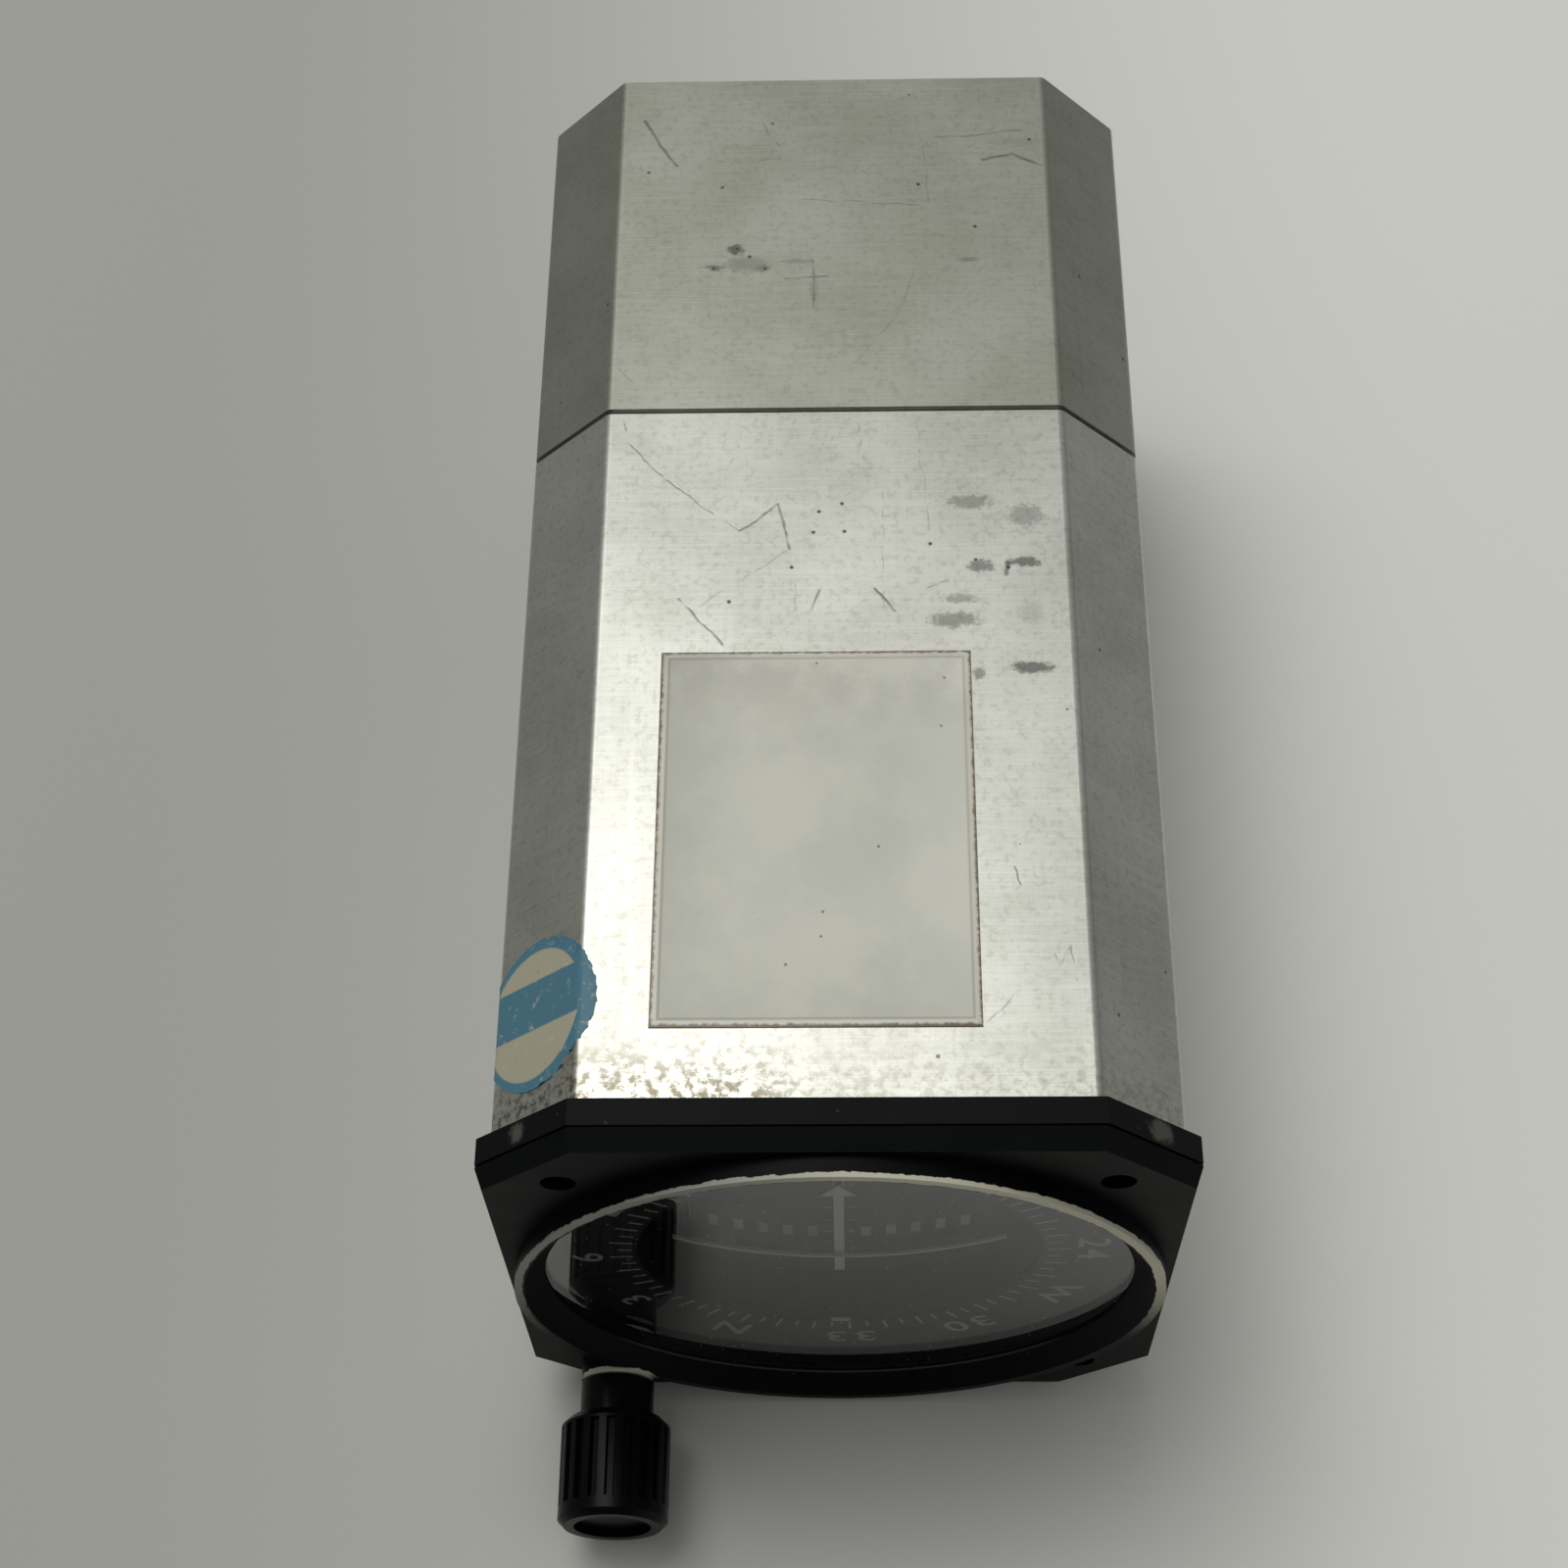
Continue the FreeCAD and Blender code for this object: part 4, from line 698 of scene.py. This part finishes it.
def pointer_paint(name):
    """Light paint on the upper index and on the lower one's bar, and black on the rest."""
    material, tree, shader, place = new_material(name)
    parts = tree.parts(place)
    cloud = tree.noise(place, 700.0, 4.0, 0.6)
    light = tree.mix(cloud, linear(160, 161, 152), linear(182, 182, 172))
    front = tree.between(parts["Y"], 3.85 * MM, 3.95 * MM, 1.0, 0.0)
    upper = tree.between(parts["Z"], -1 * MM, 1 * MM)
    bar = tree.times(tree.between(parts["Z"], -22.3 * MM, -22.2 * MM),
                     tree.between(tree.math("ABSOLUTE", parts["X"]), 1.15 * MM, 1.25 * MM, 1.0, 0.0))
    front = tree.times(front, tree.math("MAXIMUM", upper, bar))
    colour = tree.mix(front, (0.005, 0.005, 0.0055, 1), light)
    feed(tree, shader, colour=colour, roughness=0.6, normal=bump(tree, cloud, 0.1, 0.00003))
    return material


def circuit_board(name):
    """Green lacquer over copper tracks."""
    material, tree, shader, place = new_material(name)
    parts = tree.parts(place)
    bend = tree.noise(tree.stretched(place, (60, 60, 0)), 1.0, 1.0)
    tracks = tree.math("SINE", tree.plus(tree.times(parts["X"], 1587.0), tree.times(bend, 9.0)))
    track = tree.between(tracks, 0.35, 0.5)
    cloud = tree.noise(place, 160.0, 4.0)
    colour = tree.mix(track, linear(30, 70, 44), linear(48, 100, 62))
    colour = tree.cover(0.3, cloud, colour, linear(24, 52, 36))
    feed(tree, shader, colour=colour, roughness=0.32, normal=bump(tree, track, 0.4, 0.00004))
    return material


FINISHES = {
    "front_sheet": sheet_metal("front_sheet", linear(207, 207, 200), linear(188, 188, 180), 0.29, 0.18,
                               FRONT_SCRATCHES, FRONT_SMUDGES, FRONT_SPECKS, True),
    "rear_sheet": sheet_metal("rear_sheet", linear(174, 175, 165), linear(160, 161, 149), 0.36, 0.08,
                              REAR_SCRATCHES_AND_CREASE_SHADE, REAR_SMUDGES_AND_DENT_SHADE, REAR_SPECKS, False),
    "plain_sheet": plain_finish("plain_sheet", linear(196, 196, 190), linear(214, 214, 208), 0.3,
                                metallic=1.0),
    "bezel_paint": painted_black("bezel_paint", 0.36, ring_chips_and_highlight),
    "frame_paint": painted_black("frame_paint", 0.36, corner_wear),
    "rear_paint": painted_black("rear_paint", 0.42, None),
    "knob_plastic": plain_finish("knob_plastic", (0.0008, 0.0010, 0.0013, 1), (0.0020, 0.0024, 0.0030, 1),
                                 0.24, scale=180.0, gloss=0.09),
    "part_plastic": plain_finish("part_plastic", (0.010, 0.010, 0.011, 1), (0.02, 0.02, 0.022, 1), 0.4),
    "dial_paint": plain_finish("dial_paint", (0.0045, 0.0048, 0.0052, 1), (0.0075, 0.0078, 0.0082, 1),
                               0.62, scale=90.0, grain=0.00002, gloss=0.25),
    "pointer_paint": pointer_paint("pointer_paint"),
    "needle_paint": plain_finish("needle_paint", linear(178, 178, 168), linear(192, 191, 180), 0.55),
    "mark_paint": plain_finish("mark_paint", linear(158, 160, 154), linear(176, 177, 170), 0.6,
                               scale=700.0),
    "dial_mark_paint": plain_finish("dial_mark_paint", linear(122, 124, 118), linear(146, 147, 140), 0.6,
                                    scale=700.0),
    "flag_paint": plain_finish("flag_paint", linear(186, 66, 30), linear(202, 80, 38), 0.55),
    "steel": turned_metal("steel", linear(176, 176, 174), linear(196, 196, 194), 0.25),
    "iron": plain_finish("iron", linear(96, 96, 98), linear(120, 120, 120), 0.42, metallic=1.0),
    "brass": turned_metal("brass", linear(186, 152, 84), linear(204, 170, 98), 0.24),
    "copper": plain_finish("copper", linear(150, 78, 40), linear(178, 96, 50), 0.3, metallic=1.0,
                           scale=900.0),
    "gold": plain_finish("gold", linear(214, 174, 92), linear(226, 188, 108), 0.22, metallic=1.0),
    "rubber": plain_finish("rubber", (0.01, 0.01, 0.01, 1), (0.016, 0.016, 0.016, 1), 0.75),
    "glass": clear_glass("glass"),
    "board": circuit_board("board"),
    "label": label_paper("label"),
    "sticker": sticker_paper("sticker"),
}

# Finish of each CAD node, by its name or else by its material slot

NODE_FINISH = {
    "bezel": "bezel_paint", "mounting_frame": "frame_paint", "rear_plate": "rear_paint",
    "lens": "glass", "lens_gasket": "rubber", "lens_clamp_ring": "bezel_paint",
    "front_can": "front_sheet", "rear_can": "rear_sheet", "obs_knob": "knob_plastic",
    "azimuth_card": "dial_paint", "card_bearing_ring": "dial_paint", "meter_face": "dial_paint",
    "flag_plate": "dial_paint", "dial_lamp_cover": "rear_paint", "index_pointers": "pointer_paint",
    "gs_arm": "dial_paint", "cdi_arm": "dial_paint", "azimuth_gear": "dial_paint",
    "cdi_needle": "needle_paint", "gs_needle": "needle_paint",
    "nav_flag": "flag_paint", "gs_flag": "flag_paint", "to_from_flag": "mark_paint",
    "converter_board": "board", "edge_contacts": "gold", "board_components": "part_plastic",
    "flag_motors": "iron",
}
SLOT_FINISH = {
    "case_aluminium": "plain_sheet", "bright_steel": "steel", "gear_brass": "brass",
    "soft_iron": "iron", "coil_copper": "copper",
}


def finish_nodes():
    """Give every CAD node its finish."""
    for part in frame["record"]["subparts"]:
        name = part["node"]
        finish = NODE_FINISH.get(name) or SLOT_FINISH[part["material_slot"]]
        node = nodes[name]
        if not node.data.materials:
            node.data.materials.append(None)
        for number in range(len(node.data.materials)):
            node.data.materials[number] = FINISHES[finish]


finish_nodes()


def dress(item, finish, body="root"):
    """Give a finished piece its finish, its slot and the body that it rides on."""
    item.data.materials.clear()
    item.data.materials.append(FINISHES[finish])
    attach(item, body)


# Compass card scale, in degrees and millimetres. The card stands with CARD_TOP at the top.

CARD_TOP = 152.5
CARD_FRONT = reach("azimuth_card", 1, min)
PAINT = 0.03
TICKS = ((0.34, 28.3, 0), (0.30, 27.3, 5))  # width, outer radius, first heading
TICK_INSIDE = 25.5
TICK_COUNT = 36
LETTER_HEIGHT = 3.9
LETTER_RADIUS = 31.2
LETTER_WIDTH = 1.2
LETTER_SPACE = 1.2
LETTER_BOLD = 0.06
CAPITAL_SHARE = 0.72
LETTERS = {0: "N", 30: "3", 60: "6", 90: "E", 120: "12", 150: "15", 180: "S", 210: "21", 240: "24",
           270: "W", 300: "30", 330: "33"}


def turn_about_card(item, heading):
    """Turn a piece that is drawn at the top of the card to its place on the scale."""
    item.rotation_euler = (0, math.radians(heading - CARD_TOP), 0)
    settle(item)


def scale_marks(width, outer, first):
    """A tick drawn once at the top and spun round the card."""
    low = (-width / 2, CARD_FRONT - PAINT, TICK_INSIDE)
    tick = block("tick", low, (width / 2, CARD_FRONT, outer), 0.008, 1)
    turn_about_card(tick, first)
    edit(tick)
    bpy.ops.mesh.select_all(action="SELECT")
    bpy.ops.mesh.spin(steps=TICK_COUNT, dupli=True, angle=2 * math.pi, center=(0, 0, 0), axis=(0, 1, 0))
    done()
    outward(tick)
    return tick


def lettering(text):
    """A numeral or letter at the top of the card, its top outward."""
    deselect()
    bpy.ops.object.text_add()
    item = new_piece("letter")
    item.data.body = text
    item.data.size = LETTER_HEIGHT * MM / CAPITAL_SHARE
    item.data.align_x = "CENTER"
    item.data.align_y = "CENTER"
    item.data.space_character = LETTER_SPACE
    item.data.extrude = PAINT / 2 * MM
    item.data.offset = LETTER_BOLD * MM
    item.data.resolution_u = 4
    bpy.ops.object.convert(target="MESH")
    item = bpy.context.active_object
    low = min(v.co.y for v in item.data.vertices)
    high = max(v.co.y for v in item.data.vertices)
    left = min(v.co.x for v in item.data.vertices)
    right = max(v.co.x for v in item.data.vertices)
    size = LETTER_HEIGHT * MM / (high - low)
    item.scale = (size * LETTER_WIDTH, size, 1)
    item.location = (-(left + right) / 2 * size * LETTER_WIDTH, -(low + high) / 2 * size, 0)
    settle(item)
    item.rotation_euler = (math.radians(90), 0, 0)
    item.location = (0, (CARD_FRONT - PAINT / 2) * MM, LETTER_RADIUS * MM)
    settle(item)
    return item


def make_card_scale():
    """Ticks and figures painted on the card, which turn with it."""
    scale = join([scale_marks(*tick) for tick in TICKS], "card_scale")
    dress(scale, "mark_paint", "card")
    figures = []
    for heading, text in LETTERS.items():
        figure = lettering(text)
        turn_about_card(figure, heading)
        figures.append(figure)
    figures = join(figures, "card_figures")
    dress(figures, "mark_paint", "card")


make_card_scale()

# Marks on the domed centre, in millimetres

HINGE = joint_place("gs_swing")[1]
DOME = 80.0
BAR_SIZES = (1.2, 3.3, 0.28, 0.5)  # across and up, then the same of its middle
BAR_FIRST, BAR_STEP = 3.3, 3.07
DASH_OFFSET, DASH_STEP, DASH_HALF = 1.42, 3.6, 0.45
THIN_DASH, THICK_DASH = 0.14, 0.3
MARK_FRONT, MARK_BACK = -PAINT, PAINT * 0.3


def on_dome(item, x, z):
    """Lay a piece drawn about the origin, facing forwards, on the dome at a place in millimetres."""
    depth = HINGE - math.sqrt(DOME ** 2 - x ** 2 - z ** 2)
    normal = Vector((x, depth - HINGE, z)).normalized()
    item.rotation_euler = normal.to_track_quat("-Y", "Z").to_euler()
    item.location = Vector((x, depth, z)) * MM
    settle(item)


def bar_mark(across, up, middle_across, middle_up):
    """A bar drawn out from its middle, to both sides and then, over its whole width, up and down."""
    half_across, half_up = middle_across / 2, middle_up / 2
    item = block("bar", (-half_across, MARK_FRONT, -half_up), (half_across, MARK_BACK, half_up))
    sideways, upright = across - middle_across, up - middle_up
    for x, z, length in ((1, 0, sideways), (-1, 0, sideways), (0, 1, upright), (0, -1, upright)):
        edit(item)
        side = Vector((x, 0, z))
        pick(item, lambda face: face.normal.dot(side) > 0.9 and face.calc_center_median().dot(side) > 0)
        bpy.ops.mesh.extrude_region_move(TRANSFORM_OT_translate={"value": side * length / 2 * MM})
        done()
    outward(item)
    return item


def make_dial_marks():
    """A row of bars across the dome and two columns of dashes up it."""
    marks = []
    for step in range(1, 6):
        for side in (-1, 1):
            mark = bar_mark(*BAR_SIZES)
            on_dome(mark, side * (BAR_FIRST + (step - 1) * BAR_STEP), 0.0)
            marks.append(mark)
    for step in range(-3, 4):
        for side in (-1, 1):
            half = THICK_DASH if step == 0 else THIN_DASH
            low = (-DASH_HALF, MARK_FRONT, -half)
            mark = block("dash", low, (DASH_HALF, MARK_BACK, half), 0.01, 1)
            on_dome(mark, side * DASH_OFFSET, step * DASH_STEP)
            marks.append(mark)
    marks = join(marks, "dial_marks")
    dress(marks, "dial_mark_paint")


make_dial_marks()

# Label on the top face, in millimetres

LABEL_LOW, LABEL_HIGH = (-21.2, 15.25), (16.45, 65.6)
LABEL_THICK = 0.14
LABEL_BORDER, LABEL_GROOVE, GROOVE_DEPTH = 0.9, 0.15, 0.05
LABEL_BEVEL = 0.04


def make_label():
    """A sheet with a raised border, rounded at its upper edge."""
    label = block("case_label", (*LABEL_LOW, TOP), (*LABEL_HIGH, TOP + LABEL_THICK))
    edit(label)
    pick(label, lambda face: face.normal.z > 0.9)
    bpy.ops.mesh.inset(thickness=LABEL_BORDER * MM)
    bpy.ops.mesh.inset(thickness=LABEL_GROOVE * MM)
    bpy.ops.transform.translate(value=(0, 0, -GROOVE_DEPTH * MM))
    bpy.ops.mesh.subdivide(number_cuts=3)
    done()
    edit(label, "EDGE")
    high = (TOP + LABEL_THICK * 0.9) * MM
    pick(label, lambda edge: all(v.co.z > high for v in edge.verts) and edge.calc_length() > 20 * MM,
         "edges")
    bpy.ops.mesh.bevel(offset=LABEL_BEVEL * MM, segments=2)
    done()
    outward(label)
    smooth(label)
    dress(label, "label")


make_label()

# Round sticker that wraps over the left chamfer, in millimetres

CASE_CLIP = 10.5
CHAMFER = CASE_CLIP * math.sqrt(2)
STICKER_RADIUS, STICKER_THICK = 9.5, 0.08
STICKER_GAP = 0.015
STICKER_GRID, STICKER_CUTS = 1.1, 8
STICKER_FOLD = CHAMFER / 2 + 0.03
FOLD_BEVEL = 0.5
TORN_EDGE = 0.25


def cut(item, place, normal):
    """Cut a flat mesh along a line."""
    edit(item)
    bpy.ops.mesh.select_all(action="SELECT")
    bpy.ops.mesh.bisect(plane_co=place, plane_no=normal)
    done()


def make_sticker():
    """Drawn flat, with X across the chamfer and Y along the case, then folded and laid on."""
    deselect()
    bpy.ops.mesh.primitive_circle_add(vertices=72, radius=STICKER_RADIUS * MM, fill_type="NGON")
    sticker = new_piece("inspection_sticker")
    for step in range(-STICKER_CUTS, STICKER_CUTS + 1):
        for normal in ((1, 0, 0), (0, 1, 0)):
            cut(sticker, [axis * step * STICKER_GRID * MM for axis in normal], normal)
    fold = STICKER_FOLD
    for side in (-1, 1):
        cut(sticker, (side * fold * MM, 0, 0), (1, 0, 0))
        edit(sticker, "VERT")
        pick(sticker, lambda v: v.co.x * side > (fold + 0.001) * MM, "verts")
        bpy.ops.transform.rotate(value=math.radians(-45 * side), orient_axis="Y",
                                 center_override=(side * fold * MM, 0, 0))
        done()
    edit(sticker, "EDGE")
    pick(sticker, lambda edge: all(abs(abs(v.co.x) - fold * MM) < 1e-6 for v in edge.verts), "edges")
    bpy.ops.mesh.bevel(offset=FOLD_BEVEL * MM, segments=3)
    done()
    edit(sticker, "VERT")
    pick(sticker, lambda v: v.is_boundary and v.co.x > 0.001, "verts")
    bpy.ops.transform.vertex_random(offset=TORN_EDGE * MM, uniform=0.0, normal=0.0, seed=3)
    done()
    middle = TOP - CASE_CLIP / 2
    sticker.rotation_euler = (0, math.radians(-45), 0)
    lift = STICKER_GAP / math.sqrt(2)
    sticker.location = ((-middle - lift) * MM, STICKER_PLACE[1] * MM, (middle + lift) * MM)
    settle(sticker)
    apply_modifier(sticker, "SOLIDIFY", thickness=STICKER_THICK * MM, offset=1.0)
    outward(sticker)
    smooth(sticker, 30)
    dress(sticker, "sticker")


make_sticker()

# Floor and light, in metres

FLOOR = cad_box[0][2]
FLOOR_SIZE = 1.1
DARKER_SIDE, LIGHTER_SIDE = -0.12, 0.11
CEILING = Vector((-0.08, 0.36, 0.90)).normalized()
WINDOW_PLACE = (-0.42, 0.46, 1.6)
WINDOW_TARGET = (0, 0.04, 0)
WINDOW_SIZE = 0.9
WINDOW_POWER = 10.8


def make_floor():
    """A pale paper table whose colour is lighter towards the right, with painted shade towards the left."""
    deselect()
    bpy.ops.mesh.primitive_plane_add(size=FLOOR_SIZE, location=(0, 0, FLOOR))
    floor = new_piece("studio_floor")
    settle(floor)
    material, tree, shader, place = new_material("floor_paper")
    # painted shade: the colour runs from darker at the left to lighter at the right, standing in for uneven
    # light on the table
    side = tree.between(tree.parts(place)["X"], DARKER_SIDE, LIGHTER_SIDE)
    grain = tree.noise(place, 900.0, 4.0, 0.6)
    colour = tree.mix(side, linear(184, 185, 180), linear(242, 242, 238))
    feed(tree, shader, colour=colour, roughness=0.7, specular=0.2, normal=bump(tree, grain, 0.2, 0.0002))
    floor.data.materials.append(material)


make_floor()


def make_window():
    """A soft window above and behind, at the left."""
    data = bpy.data.lights.new("window_light", "AREA")
    data.shape = "RECTANGLE"
    data.size = data.size_y = WINDOW_SIZE
    data.energy = WINDOW_POWER
    data.color = (1.0, 1.0, 0.97)
    light = bpy.data.objects.new("window_light", data)
    bpy.context.scene.collection.objects.link(light)
    light.location = WINDOW_PLACE
    towards = Vector(WINDOW_TARGET) - Vector(WINDOW_PLACE)
    light.rotation_euler = towards.to_track_quat("-Z", "Y").to_euler()


def make_room():
    """A dim room that brightens towards the ceiling, with a soft lamp in its middle."""
    world = bpy.data.worlds.new("studio")
    bpy.context.scene.world = world
    world.use_nodes = True
    tree = Tree(world.node_tree)
    place = tree.add("ShaderNodeTexCoord").outputs["Generated"]
    toward = tree.vector("DOT_PRODUCT", place, tuple(CEILING))
    room = tree.between(toward, -0.2, 0.9, 0.11, 0.36)
    ceiling = tree.between(toward, 0.93, 1.0, 0.0, 0.45)
    background = world.node_tree.nodes["Background"]
    background.inputs["Color"].default_value = (0.985, 1.0, 0.965, 1)
    tree.give(tree.plus(room, ceiling), background.inputs["Strength"])


make_window()
make_room()
bpy.context.scene.view_settings.view_transform = "Standard"
